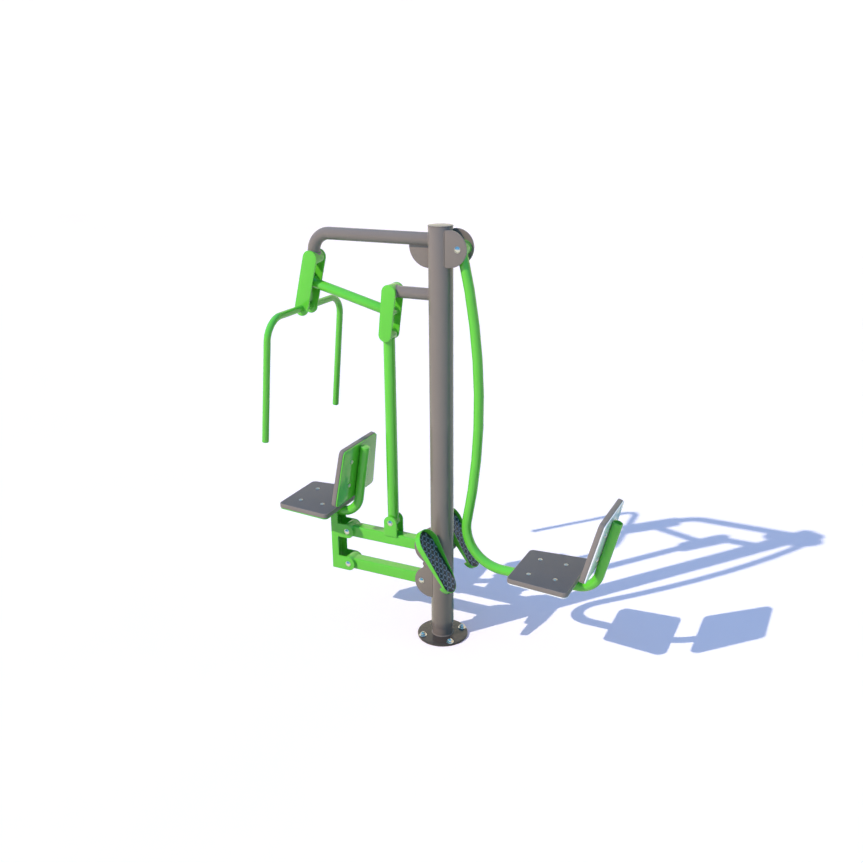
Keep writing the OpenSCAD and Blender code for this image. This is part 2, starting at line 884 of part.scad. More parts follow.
module bolt_holes() {
    bolt_places() translate([0, 0, -backing_t - over])
        cylinder(h = backing_t + panel_t + over * 2, r = bolt_r + bolt_gap);
}

module panel_solid() {
    color(dark) difference() {
        linear_extrude(panel_t) panel_outline(0);
        bolt_holes();
    }
}

module backing_solid(paint) {
    color(paint) difference() {
        translate([0, 0, -backing_t]) linear_extrude(backing_t) panel_outline(backing_inset);
        bolt_holes();
    }
}

module panel_bolts() {
    color(bright) bolt_places() {
        translate([0, 0, -backing_t - bolt_nut_h])
            cylinder(h = backing_t + bolt_nut_h + panel_t, r = bolt_r);
        translate([0, 0, panel_t]) domed_head(bolt_head_r, bolt_gap, bolt_head_h);
        translate([0, 0, -backing_t - bolt_nut_h]) cylinder(h = bolt_nut_h, r = bolt_head_r, $fn = 6);
    }
}

module at_seat(front, top) {
    translate([front, 0, top - panel_t]) children();
}

// Places a back panel: its free end is up, and its face leans away from the seat.
module at_back(bend_x, tube_z, lean, foot_gap) {
    at([bend_x, tube_z + seat_bend_r]) rotate([0, lean, 0])
        translate([seat_bend_r - backing_gap - backing_t, 0, foot_gap + panel_len])
            rotate([0, 90, 0]) mirror([0, 0, 1]) children();
}

// The tube under a seat, the bend behind it, and the tube up its back with a closed top end.
module back_run(bend_x, tube_z, lean, under) {
    at([bend_x, tube_z + seat_bend_r]) {
        rotate([90, 0, 0]) rotate([0, 0, -90]) curve(seat_bend_r, 90 - lean);
        translate([-weld_gap, 0, -seat_bend_r]) rotate([0, -90, 0])
            linear_extrude(under - weld_gap) ring(seat_tube_d, seat_tube_wall);
        rotate([0, lean, 0]) translate([seat_bend_r, 0, weld_gap]) {
            linear_extrude(upright_len) ring(seat_tube_d, seat_tube_wall);
            translate([0, 0, upright_len + weld_gap]) cylinder(h = seat_tube_wall, d = seat_tube_d);
        }
    }
}

// A length of bent seat tube that starts on the x axis.
module curve(r, sweep, sides = $fn) {
    rotate_extrude(angle = sweep, $fn = sides) translate([r, 0]) ring(seat_tube_d, seat_tube_wall);
}

module press_seat_tube() {
    under = press_seat_front - press_tube_inset - press_bend_x;
    color(green) back_run(-press_bend_x, press_tube_z, press_lean, under);
}

module at_press_back() {
    at_back(-press_bend_x, press_tube_z, press_lean, press_panel_gap) children();
}

// The press seat's plate is cut round its tube, which starts to rise before the plate ends.
module press_seat_backing() {
    color(green) difference() {
        at_seat(-press_seat_front, press_seat_z) backing_solid(green);
        translate([-press_bend_x, -seat_tube_r, press_tube_z])
            cube([panel_len, seat_tube_d, seat_bend_r]);
    }
}

module press_seat_panel() {
    at_seat(-press_seat_front, press_seat_z) panel_solid();
}

module press_seat_bolts() {
    at_seat(-press_seat_front, press_seat_z) panel_bolts();
}

module press_back_backing() {
    at_press_back() backing_solid(green);
}

module press_back_panel() {
    at_press_back() panel_solid();
}

module press_back_bolts() {
    at_press_back() panel_bolts();
}

// Leg press swing

module swing_tube() {
    low = meet_angle + asin(weld_gap / swing_arc_r);
    color(green) {
        difference() {
            at(arc_centre) rotate([90, 0, 0]) rotate([0, 0, low])
                curve(swing_arc_r, pivot_angle - low, long_sides);
            across(swing_pivot, fork_half, bearing_r + weld_gap);
        }
        at(bend_centre) rotate([90, 0, 0]) rotate([0, 0, 180 + meet_angle])
            curve(swing_bend_r, 90 - meet_angle);
        back_run(leg_bend_x, leg_tube_z, leg_lean, leg_bend_x - bend_centre[0] - weld_gap);
    }
}

module swing_bearing() {
    color(green) sleeve(swing_pivot, sleeve_half, bearing_r, pin_r + running_gap);
}

module at_leg_back() {
    at_back(leg_bend_x, leg_tube_z, leg_lean, leg_panel_gap) children();
}

module leg_seat_backing() {
    at_seat(leg_seat_front, leg_seat_z) backing_solid(white);
}

module leg_seat_panel() {
    at_seat(leg_seat_front, leg_seat_z) panel_solid();
}

module leg_seat_bolts() {
    at_seat(leg_seat_front, leg_seat_z) panel_bolts();
}

module leg_back_backing() {
    at_leg_back() backing_solid(white);
}

module leg_back_panel() {
    at_leg_back() panel_solid();
}

module leg_back_bolts() {
    at_leg_back() panel_bolts();
}

base_flange();
anchor_studs();
neck_tube();
post();
post_cap();
top_arm();
top_arm_gusset();
lever_bearing();
rocker_arm();
rocker_bearing();
swing_cheeks();
arm_cheeks();
stop_lug();
swing_pin();
upper_post_pin();
lower_post_pin();
pedal_bars();
near_pedal();
far_pedal();
near_tread();
far_tread();
lever_plates();
lever_pin();
lever_link_pin();
handlebar();
grip_ends();
link_tube();
link_sleeves();
rocker_plates();
rocker_pin();
rocker_link_pin();
rocker_rod_pin();
rod_tube();
rod_sleeves();
upper_arm();
upper_arm_sleeves();
rod_fork();
rod_fork_pin();
lower_arm();
lower_arm_sleeves();
seat_bracket();
upper_seat_pin();
lower_seat_pin();
press_seat_tube();
press_seat_backing();
press_seat_panel();
press_seat_bolts();
press_back_backing();
press_back_panel();
press_back_bolts();
swing_tube();
swing_bearing();
leg_seat_backing();
leg_seat_panel();
leg_seat_bolts();
leg_back_backing();
leg_back_panel();
leg_back_bolts();
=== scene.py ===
import json
from math import acos, asin, atan2, cos, degrees, pi, radians, sin, sqrt, tan

import bmesh
import bpy
from mathutils import Matrix, Vector


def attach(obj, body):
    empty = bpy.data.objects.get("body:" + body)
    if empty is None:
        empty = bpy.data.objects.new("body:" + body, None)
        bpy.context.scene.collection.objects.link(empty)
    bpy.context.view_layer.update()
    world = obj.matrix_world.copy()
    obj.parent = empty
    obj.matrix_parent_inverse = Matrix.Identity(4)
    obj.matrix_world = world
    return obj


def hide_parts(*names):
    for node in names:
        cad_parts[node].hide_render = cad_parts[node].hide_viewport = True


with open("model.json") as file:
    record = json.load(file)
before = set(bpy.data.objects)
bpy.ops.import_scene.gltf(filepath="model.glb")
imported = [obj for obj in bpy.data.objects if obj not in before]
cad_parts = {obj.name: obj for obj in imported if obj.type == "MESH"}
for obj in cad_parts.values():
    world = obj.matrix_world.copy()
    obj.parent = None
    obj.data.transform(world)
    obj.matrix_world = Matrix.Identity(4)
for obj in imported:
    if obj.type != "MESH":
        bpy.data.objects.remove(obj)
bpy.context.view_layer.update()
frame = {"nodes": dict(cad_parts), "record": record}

scene = bpy.context.scene
V = Vector
X, Y, Z = V((1, 0, 0)), V((0, 1, 0)), V((0, 0, 1))
SIDES = (-1, 1)

# Sizes in millimetres and degrees, the same as in the part's source. A pair of numbers is a
# place (x, z) in the middle plane.
# The post
POST_R, POST_WALL, POST_LOW, POST_TOP, CAP_T = 57.15, 4.0, 61.0, 2080.0, 6.0
# The pivots: half the room between two plates, a plate's thickness and half a sleeve
FORK, PLATE, HALF = 37.0, 8.0, 36.0
OUTER = FORK + PLATE
PIN_R, BORE_R, BEARING_R, ARM_SLEEVE_R = 8.0, 8.2, 35.5, 37.5
# The fixed arms
ARM_Z, ARM_R, ARM_BEND, SHORT_ARM_R, GUSSET_R = 2014.0, 30.15, 90.0, 28.5, 100.0
# The lever and its push bar
LEVER, LEVER_TILT, LEVER_W, BAR_DROP, LINK_DROP = (-670.0, 1895.0), 14.0, 38.0, 252.0, 119.0
BAR_R, GRIP_HALF, BAR_BEND, GRIP_LEN, GRIP_TILT = 16.85, 327.0, 103.0, 610.0, 5.7
# The rocker, the link and the rod
ROCKER, ROCKER_TILT, ROCKER_LINK_DROP, ROCKER_ROD_DROP = (-248.0, 1764.0), 7.0, 100.0, 205.5
LINK_R, ROD_R, ROD_HANG, ROD_LOW = 24.15, 28.5, 3.9, (-273.0, 587.0)
# The two square arms
SQUARE, UP_POST, LOW_POST = 30.0, (-96.0, 493.0), (-96.0, 307.0)
UP_SEAT, LOW_SEAT = (-526.0, 493.0), (-526.0, 307.0)
# The seats and their bent tubes
TUBE_R, BEND_R, UPRIGHT = 24.15, 105.0, 291.0
PANEL, PANEL_FREE, PANEL_HINGE, PANEL_T, PANEL_CORNER = 304.0, 167.0, 192.0, 24.0, 24.0
BACKING, BACKING_IN, WELD_GAP = 6.0, 3.0, 0.1
PRESS = dict(front=-856.0, top=643.0, bend_x=-574.0, lean=9.0, gap=5.0)
LEG = dict(front=406.0, top=492.0, bend_x=703.0, lean=14.3, gap=28.0)
# The pedals
PEDAL_X, PEDAL_Z, PEDAL_Y, PEDAL_LEAN, PEDAL_LEN = 37.0, 488.0, 146.0, 34.0, 338.0
TOE_R, HEEL_R, PEDAL_WALL, PEDAL_BASE = 73.0, 62.0, 4.0, 6.0
RIM_HIGH, RIM_LOW, RIM_SHARE, FLAT_SHARE = 31.0, 21.0, 0.9, 0.45


def toward(p, tilt, r):
    """The place at a distance below another, tilted away from the post."""
    return (p[0] - r * sin(radians(tilt)), p[1] - r * cos(radians(tilt)))


LEVER_LINK, BAR = toward(LEVER, LEVER_TILT, LINK_DROP), toward(LEVER, LEVER_TILT, BAR_DROP)
ROCKER_LINK = toward(ROCKER, ROCKER_TILT, ROCKER_LINK_DROP)
ROCKER_ROD = toward(ROCKER, ROCKER_TILT, ROCKER_ROD_DROP)
ROD_HIGH = (ROCKER_ROD[0], ROCKER_ROD[1] - ROD_HANG)
for seat in (PRESS, LEG):
    seat["tube_z"] = seat["top"] - PANEL_T - BACKING - WELD_GAP - TUBE_R
# The swinging tube: a long arc that hangs from the top of the post, then a bend to the seat
ARC_R, CROWN, FRONT_R, SWING_Z = 3000.0, (192.0, 1250.0), 196.0, 1981.0
ARC = (CROWN[0] - ARC_R, CROWN[1])
SWING = (ARC[0] + sqrt(ARC_R**2 - (SWING_Z - CROWN[1]) ** 2), SWING_Z)
FRONT_Z = LEG["tube_z"] + FRONT_R
FRONT = (ARC[0] + sqrt((ARC_R + FRONT_R) ** 2 - (FRONT_Z - CROWN[1]) ** 2), FRONT_Z)
MEET = atan2(FRONT_Z - CROWN[1], FRONT[0] - ARC[0])


# Camera and light
CAMERA_AT, LENS, SENSOR, FAR_END = (1.8080, -3.8336, 2.6083), 39.23, 36, 100
CAMERA_AZ, CAMERA_EL, CAMERA_ROLL = 25.904, 19.502, -0.524
SUN_WAY, SUN_POWER, SUN_SPREAD = (0.769, 0.976, -1.0), 3.7, 0.6
SUN_COLOUR = (1.0, 0.875, 0.80)
# The light from all round by height, from straight down at 0 to straight up at 1
SKY = ((0.0, (0.60, 0.70, 0.85)), (0.50, (0.80, 0.82, 0.84)), (0.56, (0.34, 0.54, 0.80)),
       (0.66, (0.14, 0.42, 0.82)), (1.0, (0.12, 0.44, 0.86)))


def look():
    """The photo's camera."""
    az, el, roll = radians(CAMERA_AZ), radians(CAMERA_EL), radians(CAMERA_ROLL)
    back = V((sin(az) * cos(el), -cos(az) * cos(el), sin(el)))
    right = (-back).cross(Z).normalized()
    up = right.cross(-back)
    right, up = right * cos(roll) + up * sin(roll), up * cos(roll) - right * sin(roll)
    data = bpy.data.cameras.new("photo_camera")
    data.sensor_width, data.lens, data.clip_end = SENSOR, LENS, FAR_END
    cam = bpy.data.objects.new("photo_camera", data)
    m = Matrix((right, up, back)).transposed().to_4x4()
    m.translation = V(CAMERA_AT)
    cam.matrix_world = m
    scene.collection.objects.link(cam)
    scene.camera = cam


def light_up():
    """A blue sky that the camera sees as white, and a sun that no surface mirrors."""
    world = bpy.data.worlds.new("studio")
    scene.world = world
    world.use_nodes = True
    nt = world.node_tree
    nt.nodes.clear()
    t = Tree(nt)
    way = t.node("TexCoord").outputs["Generated"]
    height = t.node("SeparateXYZ", None, Vector=way).outputs["Z"]
    ramp = t.node("ValToRGB", None, Fac=t.band(height, -1.0, 1.0))
    e = ramp.color_ramp.elements
    e[0].position, e[0].color = SKY[0][0], (*SKY[0][1], 1)
    e[1].position, e[1].color = SKY[-1][0], (*SKY[-1][1], 1)
    for place, colour in SKY[1:-1]:
        e.new(place).color = (*colour, 1)
    sky = t.node("Background", None, Color=ramp.outputs[0], Strength=1.0)
    plain = t.node("Background", None, Color=(1, 1, 1, 1), Strength=1.0)
    seen = t.node("LightPath").outputs["Is Camera Ray"]
    both = t.node("MixShader", None, i0=seen, i1=sky.outputs[0], i2=plain.outputs[0])
    nt.links.new(both.outputs[0], t.node("OutputWorld").inputs[0])
    sun = bpy.data.lights.new("key", "SUN")
    sun.energy, sun.angle, sun.color = SUN_POWER, radians(SUN_SPREAD), SUN_COLOUR
    lamp = bpy.data.objects.new("key", sun)
    lamp.rotation_euler = V(SUN_WAY).to_track_quat("-Z", "Y").to_euler()
    lamp.visible_glossy = False
    scene.collection.objects.link(lamp)


# Materials. Colours are as a screen shows them, 0 to 255. A coat has its face, its deeper patches
# and a paler colour for its rims, laid on as a painted highlight; plating is clean, then dirty; the
# rest have a face and deeper patches.
GREEN = ((99, 199, 52), (96, 194, 50), (126, 222, 90))
BROWN = ((129, 116, 105), (124, 111, 101), (152, 141, 130))
DARK = ((66, 58, 54), (60, 53, 50), (100, 92, 86))
WHITE = ((252, 248, 242), (246, 242, 236), (244, 244, 244))
BRIGHT = ((244, 236, 226), (190, 180, 166))
DULL = ((240, 226, 208), (196, 184, 168))
# One board colour in two copies: darker faces as painted shade, lighter sides as painted light
BOARD_FACES_PAINTED_SHADE, BOARD_SIDES_PAINTED_LIGHT = ((83, 81, 85), (78, 77, 81)), ((136, 123, 113), (127, 115, 105))
BOARD_FLECK, BOARD_CHIP = (150, 150, 156), (160, 158, 158)
# The mat between the pads is near black, a painted shade between them; the pads are paler
TREAD_PAINTED_SHADE, BUMP = ((26, 30, 42), (18, 21, 30)), ((132, 134, 146), (120, 122, 134))
DUST = (176, 170, 160)
# The floor: as the camera sees it, as it lights the object in front and behind, as paint mirrors
# it, and the warmth that its shadow is given
FLOOR_SEEN, YARD = ((248, 248, 249), (250, 250, 251)), ((236, 234, 228), (136, 136, 132))
YARD_MIRRORED, SHADOW_WARMTH, WARMTH = (235, 224, 194), (1.0, 0.2, 0.0, 1), 0.16
# Metres over which the yard turns dark: towards the back, and to both sides of a pale lane
YARD_BACK, LANE_LEFT, LANE_RIGHT = (-1.3, -0.3), (1.0, 0.7), (1.7, 2.1)
# Ranges of the masks: how far a face is turned up, and which part of a noise shows
TURNED_UP, UPRIGHT_FACE = (0.35, 0.95), (0.5, -0.1)
CLOUDS, SPECKS, STREAKS, GRAIN = (0.3, 0.7), (0.38, 0.7), (0.56, 0.78), (0.3, 0.7)
CHIPPED, ROUNDED_OFF, FLECKED = (0.4, 0.62), (0.985, 0.90), (0.62, 0.7)
FLOOR_CLOUDS = (0.35, 0.65)
# The fine unevenness of each surface
PAINT_PEEL = dict(Scale=420.0, Fine=0.25, Strength=0.05, Depth=0.0003)
METAL_PEEL = dict(Scale=260.0, Fine=0.5, Strength=0.06, Depth=0.0002)
BOARD_PEEL = dict(Scale=700.0, Fine=0.6, Strength=0.25, Depth=0.0004)
TREAD_PEEL = dict(Scale=900.0, Fine=0.8, Strength=0.2, Depth=0.0003)
FLOOR_PEEL = dict(Scale=60.0, Fine=0.5, Strength=0.04, Depth=0.0005)
GLOSS = dict(IOR=1.5, Coat_Weight=0.6, Coat_Roughness=0.03)
SATIN = dict(IOR=1.45, Coat_Weight=0.4, Coat_Roughness=0.03)


def srgb(colour):
    def lin(c):
        c /= 255
        return c / 12.92 if c <= 0.04045 else ((c + 0.055) / 1.055) ** 2.4
    return (*map(lin, colour), 1)


class Tree:
    """Short calls for building one node tree."""

    def __init__(self, tree):
        self.t = tree

    def put(self, sock, value):
        if isinstance(value, bpy.types.NodeSocket):
            self.t.links.new(value, sock)
        else:
            sock.default_value = value

    def node(self, kind, sets=None, **links):
        """Adds a node. A link is named for its socket, or i and the number of the socket."""
        n = self.t.nodes.new("ShaderNode" + kind)
        for k, v in (sets or {}).items():
            setattr(n, k, v)
        for k, v in links.items():
            numbered = k[0] == "i" and k[1:].isdigit()
            self.put(n.inputs[int(k[1:]) if numbered else k.replace("_", " ")], v)
        return n

    def math(self, op, a, b=0.0):
        return self.node("Math", {"operation": op}, i0=a, i1=b).outputs[0]

    def mix(self, f, a, b):
        n = self.node("Mix", {"data_type": "RGBA"})
        for name, v in (("Factor", f), ("A", a), ("B", b)):
            self.put([s for s in n.inputs if s.name == name and s.enabled][0], v)
        return [s for s in n.outputs if s.enabled][0]

    def over(self, under, colour, mask, share):
        """Lays a colour over another where a mask is, at most by a share."""
        return self.mix(self.math("MULTIPLY", mask, share), under, srgb(colour))

    def band(self, value, lo, hi, a=0.0, b=1.0):
        return self.node("MapRange", {"clamp": True}, Value=value, From_Min=lo, From_Max=hi,
                         To_Min=a, To_Max=b).outputs[0]

    def noise(self, where, scale, detail=3.0, rough=0.5):
        return self.node("TexNoise", None, Vector=where, Scale=scale, Detail=detail,
                         Roughness=rough).outputs["Fac"]

    def where(self):
        return self.node("TexCoord").outputs["Object"]


def group(name, ins, outs, build):
    g = bpy.data.node_groups.new(name, "ShaderNodeTree")
    for n in ins:
        g.interface.new_socket(n, in_out="INPUT", socket_type="NodeSocketFloat")
    for n, kind in outs.items():
        g.interface.new_socket(n, in_out="OUTPUT", socket_type="NodeSocket" + kind)
    gi, go = g.nodes.new("NodeGroupInput"), g.nodes.new("NodeGroupOutput")
    for n, sock in build(Tree(g), gi.outputs).items():
        g.links.new(sock, go.inputs[n])
    return g


def build_weather(t, i):
    """Slow drift, dust that lies on top or has run down the sides, and fine grain."""
    where = t.where()
    normal = t.node("NewGeometry").outputs["Normal"]
    up = t.node("SeparateXYZ", None, Vector=normal).outputs["Z"]
    cloud = t.noise(where, t.math("MULTIPLY", i["Scale"], 3.0), 4.0, 0.55)
    fine = t.noise(where, t.math("MULTIPLY", i["Scale"], 60.0), 5.0, 0.7)
    stretched = t.node("Mapping", None, Vector=where, Scale=(38.0, 38.0, 2.2)).outputs[0]
    streak = t.noise(stretched, i["Scale"], 4.0, 0.6)
    lying = t.math("MULTIPLY", t.band(up, *TURNED_UP), t.band(fine, *SPECKS))
    runs = t.math("MULTIPLY", t.band(streak, *STREAKS), t.band(up, *UPRIGHT_FACE))
    dust = t.math("MULTIPLY", t.math("MAXIMUM", lying, t.math("MULTIPLY", runs, 0.7)), i["Dust"])
    return {"Drift": t.band(cloud, *CLOUDS), "Dust": dust, "Grain": fine}


def build_rim(t, i):
    """The rounded rims of a piece, and chips along them."""
    soft = t.node("Bevel", {"samples": 4}, Radius=i["Radius"]).outputs[0]
    flat = t.node("NewGeometry").outputs["Normal"]
    dot = t.node("VectorMath", {"operation": "DOT_PRODUCT"}, i0=soft, i1=flat).outputs["Value"]
    broken = t.band(t.noise(t.where(), 160.0, 4.0, 0.65), *CHIPPED)
    edge = t.band(dot, *ROUNDED_OFF)
    return {"Edge": edge, "Chips": t.math("MULTIPLY", edge, broken)}


def build_peel(t, i):
    """The fine unevenness of a surface, at two scales."""
    where = t.where()
    cells = t.noise(where, i["Scale"], 2.0, 0.45)
    fine = t.noise(where, t.math("MULTIPLY", i["Scale"], 4.5), 2.0, 0.5)
    height = t.math("ADD", cells, t.math("MULTIPLY", fine, i["Fine"]))
    bump = t.node("Bump", None, Strength=i["Strength"], Distance=i["Depth"], Height=height)
    return {"Normal": bump.outputs[0]}


WEATHER = group("weather", ["Scale", "Dust"], {"Drift": "Float", "Dust": "Float", "Grain": "Float"},
                build_weather)
RIM = group("rim", ["Radius"], {"Edge": "Float", "Chips": "Float"}, build_rim)
PEEL = group("peel", ["Scale", "Fine", "Strength", "Depth"], {"Normal": "Vector"}, build_peel)


def use(t, g, **values):
    n = t.t.nodes.new("ShaderNodeGroup")
    n.node_tree = g
    for k, v in values.items():
        n.inputs[k].default_value = v
    return n.outputs


def surface(name, slot, shade, **sockets):
    """A material whose shade(tree) gives the sockets that vary."""
    m = bpy.data.materials.new(name)
    m.use_nodes = True
    m["slot"] = slot
    m.node_tree.nodes.clear()
    t = Tree(m.node_tree)
    p = t.node("BsdfPrincipled", None, **sockets)
    for k, v in shade(t).items():
        t.put(p.inputs[k], v)
    m.node_tree.links.new(p.outputs[0], t.node("OutputMaterial").inputs[0])
    return m


def paint(name, slot, colours, rough=(0.08, 0.13), dust=0.2, **more):
    """A glossy coat over steel: slight drift of colour, a painted highlight of paler rims, and a
    little dust.
    """
    face, deep, rim = colours

    def shade(t):
        w = use(t, WEATHER, Scale=1.0, Dust=dust)
        r = use(t, RIM, Radius=0.0016)
        c = t.mix(w["Drift"], srgb(deep), srgb(face))
        # The rim colour laid along the rounded edges: a painted highlight.
        c = t.over(c, rim, r["Edge"], 0.3)
        c = t.over(c, DUST, w["Dust"], 0.3)
        dull = t.math("ADD", t.band(w["Drift"], 0.0, 1.0, *rough),
                      t.math("MULTIPLY", w["Dust"], 0.35))
        return {"Base Color": c, "Roughness": dull, "Normal": use(t, PEEL, **PAINT_PEEL)["Normal"]}
    return surface(name, slot, shade, **more)


def plating(name, slot, colours, rough):
    """Bare plated steel, dirty where dust lies."""
    clean, dirty = map(srgb, colours)

    def shade(t):
        w = use(t, WEATHER, Scale=2.0, Dust=0.4)
        return {"Base Color": t.mix(w["Dust"], clean, dirty),
                "Roughness": t.band(w["Grain"], *GRAIN, *rough),
                "Normal": use(t, PEEL, **METAL_PEEL)["Normal"]}
    return surface(name, slot, shade, Metallic=1.0)


def board(name, slot, colours, rough=(0.36, 0.52)):
    """The moulded board of the seats, with flecks and chipped rims."""
    face, deep = map(srgb, colours)

    def shade(t):
        w = use(t, WEATHER, Scale=1.6, Dust=0.25)
        r = use(t, RIM, Radius=0.003)
        c = t.mix(w["Drift"], deep, face)
        c = t.over(c, BOARD_FLECK, t.band(t.noise(t.where(), 900.0, 3.0, 0.7), *FLECKED), 0.2)
        c = t.over(c, BOARD_CHIP, r["Chips"], 0.3)
        c = t.over(c, DUST, w["Dust"], 0.25)
        return {"Base Color": c, "Roughness": t.band(w["Grain"], *GRAIN, *rough),
                "Normal": use(t, PEEL, **BOARD_PEEL)["Normal"]}
    return surface(name, slot, shade)


def tread(name, slot, colours, rough, **more):
    """The rubber of the grip mats."""
    face, deep = map(srgb, colours)

    def shade(t):
        w = use(t, WEATHER, Scale=3.0, Dust=0.3)
        c = t.over(t.mix(w["Drift"], deep, face), DUST, w["Dust"], 0.3)
        return {"Base Color": c, "Roughness": t.band(w["Grain"], *GRAIN, *rough),
                "Normal": use(t, PEEL, **TREAD_PEEL)["Normal"]}
    return surface(name, slot, shade, **more)


def yard():
    """A floor that the camera sees as white, with the shadow on it.

    It lights the object as a pale yard that is darker behind, but for a lane behind the leg
    press, and paint mirrors it in a warmer tone.
    """
    def shade(t):
        where = t.where()
        white = t.mix(t.band(t.noise(where, 0.9, 4.0), *FLOOR_CLOUDS), *map(srgb, FLOOR_SEEN))
        path = t.node("LightPath").outputs
        seen, mirrored = path["Is Camera Ray"], path["Is Glossy Ray"]
        place = t.node("SeparateXYZ", None, Vector=where).outputs
        beside = t.math("MAXIMUM", t.band(place["X"], *LANE_LEFT), t.band(place["X"], *LANE_RIGHT))
        behind = t.math("MULTIPLY", t.band(place["Y"], *YARD_BACK), beside)
        light = t.mix(behind, *map(srgb, YARD))
        light = t.mix(mirrored, light, srgb(YARD_MIRRORED))
        return {"Base Color": t.mix(seen, light, white),
                "Normal": use(t, PEEL, **FLOOR_PEEL)["Normal"],
                "Emission Strength": t.math("MULTIPLY", seen, WARMTH)}
    return surface("floor", "", shade, Roughness=0.8, Emission_Color=SHADOW_WARMTH)


def make_materials():
    return {
        "green": paint("green_coat", "green_paint", GREEN, **GLOSS),
        "brown": paint("brown_coat", "brown_paint", BROWN, (0.12, 0.18), **SATIN),
        "dark": paint("dark_coat", "dark_paint", DARK, (0.16, 0.24), 0.1, **SATIN),
        "white": paint("white_coat", "white_paint", WHITE, (0.15, 0.25), 0.3, **GLOSS),
        "bright": plating("bright_plating", "bright_bolts", BRIGHT, (0.1, 0.22)),
        "dull": plating("dull_plating", "bright_bolts", DULL, (0.26, 0.38)),
        # The board's faces take the darker copy, painted shade; its sides the lighter one, painted
        # light
        "board": board("board_faces_painted_shade", "seat_board", BOARD_FACES_PAINTED_SHADE),
        "board_edge": board("board_edge", "seat_board", BOARD_SIDES_PAINTED_LIGHT),
        # The mat between the pads is near black, a painted shade between them
        "mat": tread("tread_gaps_painted_shade", "tread_mat", TREAD_PAINTED_SHADE, (0.29, 0.45)),
        "stud": tread("tread_bumps", "tread_mat", BUMP, (0.19, 0.35), Coat_Weight=0.3,
                      Coat_Roughness=0.06),
        "floor": yard(),
    }


# Shaping, in millimetres: how near two points are one, and the degrees between two points of an arc
# and between two rings of a bend
TOUCH, ARC_STEP, BEND_STEP = 0.01, 5, 3


def at(p, y=0.0):
    return V((p[0], y, p[1]))


def stand(place, up, side=None):
    """The place of a shape drawn about Z: its Z runs along up, and its X along side."""
    up = V(up).normalized()
    side = V(side) if side else (Z if abs(up.z) < 0.9 else X)
    side = (side - up * side.dot(up)).normalized()
    m = Matrix((side, up.cross(side), up)).transposed().to_4x4()
    m.translation = V(place)
    return m


def moved(bm, m):
    bmesh.ops.transform(bm, matrix=m, verts=bm.verts[:])
    return bm


def shifted(bm, way):
    bmesh.ops.translate(bm, vec=way, verts=bm.verts[:])
    return bm


def joined(*parts):
    """Puts separate shapes into one."""
    bm = bmesh.new()
    for part in parts:
        mesh = bpy.data.meshes.new("part")
        part.to_mesh(mesh)
        part.free()
        bm.from_mesh(mesh)
        bpy.data.meshes.remove(mesh)
    return bm


def of_kind(geom, kind):
    return [g for g in geom if isinstance(g, kind)]


def whole(face):
    return [face, *face.edges, *face.verts]


def pulled(bm, face, way):
    """Extrudes a face by a distance and gives the new end face."""
    made = bmesh.ops.extrude_face_region(bm, geom=whole(face))["geom"]
    bmesh.ops.translate(bm, vec=way, verts=of_kind(made, bmesh.types.BMVert))
    return of_kind(made, bmesh.types.BMFace)[0]


def inset(bm, face, width):
    bmesh.ops.inset_region(bm, faces=[face], thickness=width, use_even_offset=True)


def bevel(bm, geom, width, segs, affect="EDGES"):
    bmesh.ops.bevel(bm, geom=geom, offset=width, offset_type="OFFSET", segments=segs, profile=0.5,
                    affect=affect, material=-1)


def draw(start, *moves, close=True, upright=False):
    """Draws a line. A move is a place, or a centre and the degrees of an arc about it."""
    bm = bmesh.new()
    axis = -Y if upright else Z

    def put(p):
        return V((p[0], 0, p[1])) if upright else V((p[0], p[1], 0))
    first = last = bm.verts.new(put(start))
    for move in moves:
        if isinstance(move[0], tuple):
            centre, turn = move
            made = bmesh.ops.spin(bm, geom=[last], cent=put(centre), axis=axis, use_duplicate=False,
                                  angle=radians(turn), steps=max(2, round(abs(turn) / ARC_STEP)))
            last = of_kind(made["geom_last"], bmesh.types.BMVert)[0]
        else:
            v = bm.verts.new(put(move))
            bm.edges.new((last, v))
            last = v
    if close and (last.co - first.co).length > TOUCH:
        bm.edges.new((last, first))
    bmesh.ops.remove_doubles(bm, verts=bm.verts[:], dist=TOUCH)
    return bm


def rounded(bm, r, *corners, segs=8):
    """Rounds corners of a flat line, all of them where none is named."""
    picked = bm.verts[:]
    if corners:
        picked = [min(bm.verts, key=lambda v: (v.co - V((*c, 0))).length) for c in corners]
    for v in picked:
        a, b = (e.other_vert(v).co - v.co for e in v.link_edges)
        bevel(bm, [v], r / tan(a.angle(b) / 2), segs, "VERTICES")
    return bm


def softened(bm, width, segs=3, over=60, only=None):
    """Rounds the edges of a shape that turn by more than some degrees."""
    bmesh.ops.recalc_face_normals(bm, faces=bm.faces[:])
    edges = [e for e in bm.edges if e.calc_face_angle(0) > radians(over) and (not only or only(e))]
    bevel(bm, edges, width, segs)
    return bm


def turned(bm, steps=64):
    """Spins an upright line about Z into a solid."""
    bmesh.ops.spin(bm, geom=bm.verts[:] + bm.edges[:], cent=(0, 0, 0), axis=Z, angle=2 * pi,
                   steps=steps, use_merge=True, use_duplicate=False)
    bmesh.ops.remove_doubles(bm, verts=bm.verts[:], dist=TOUCH)
    return bm


def turned_solid(*line, steps):
    """Spins an upright line that starts and ends on Z."""
    return turned(draw(*line, close=False, upright=True), steps)


def thick(bm, t, soft=1.2, segs=3, edge_mat=0):
    """Gives a flat outline a thickness upwards and rounds its rims."""
    face = bmesh.ops.contextual_create(bm, geom=bm.edges[:])["faces"][0]
    pulled(bm, face, Z * t)
    for f in bm.faces:
        f.material_index = edge_mat
    if soft:
        softened(bm, soft, segs, only=lambda e: abs(e.verts[0].co.z - e.verts[1].co.z) < TOUCH)
    for f in sorted(bm.faces, key=lambda f: -f.calc_area())[:2]:
        f.material_index = 0
    return bm


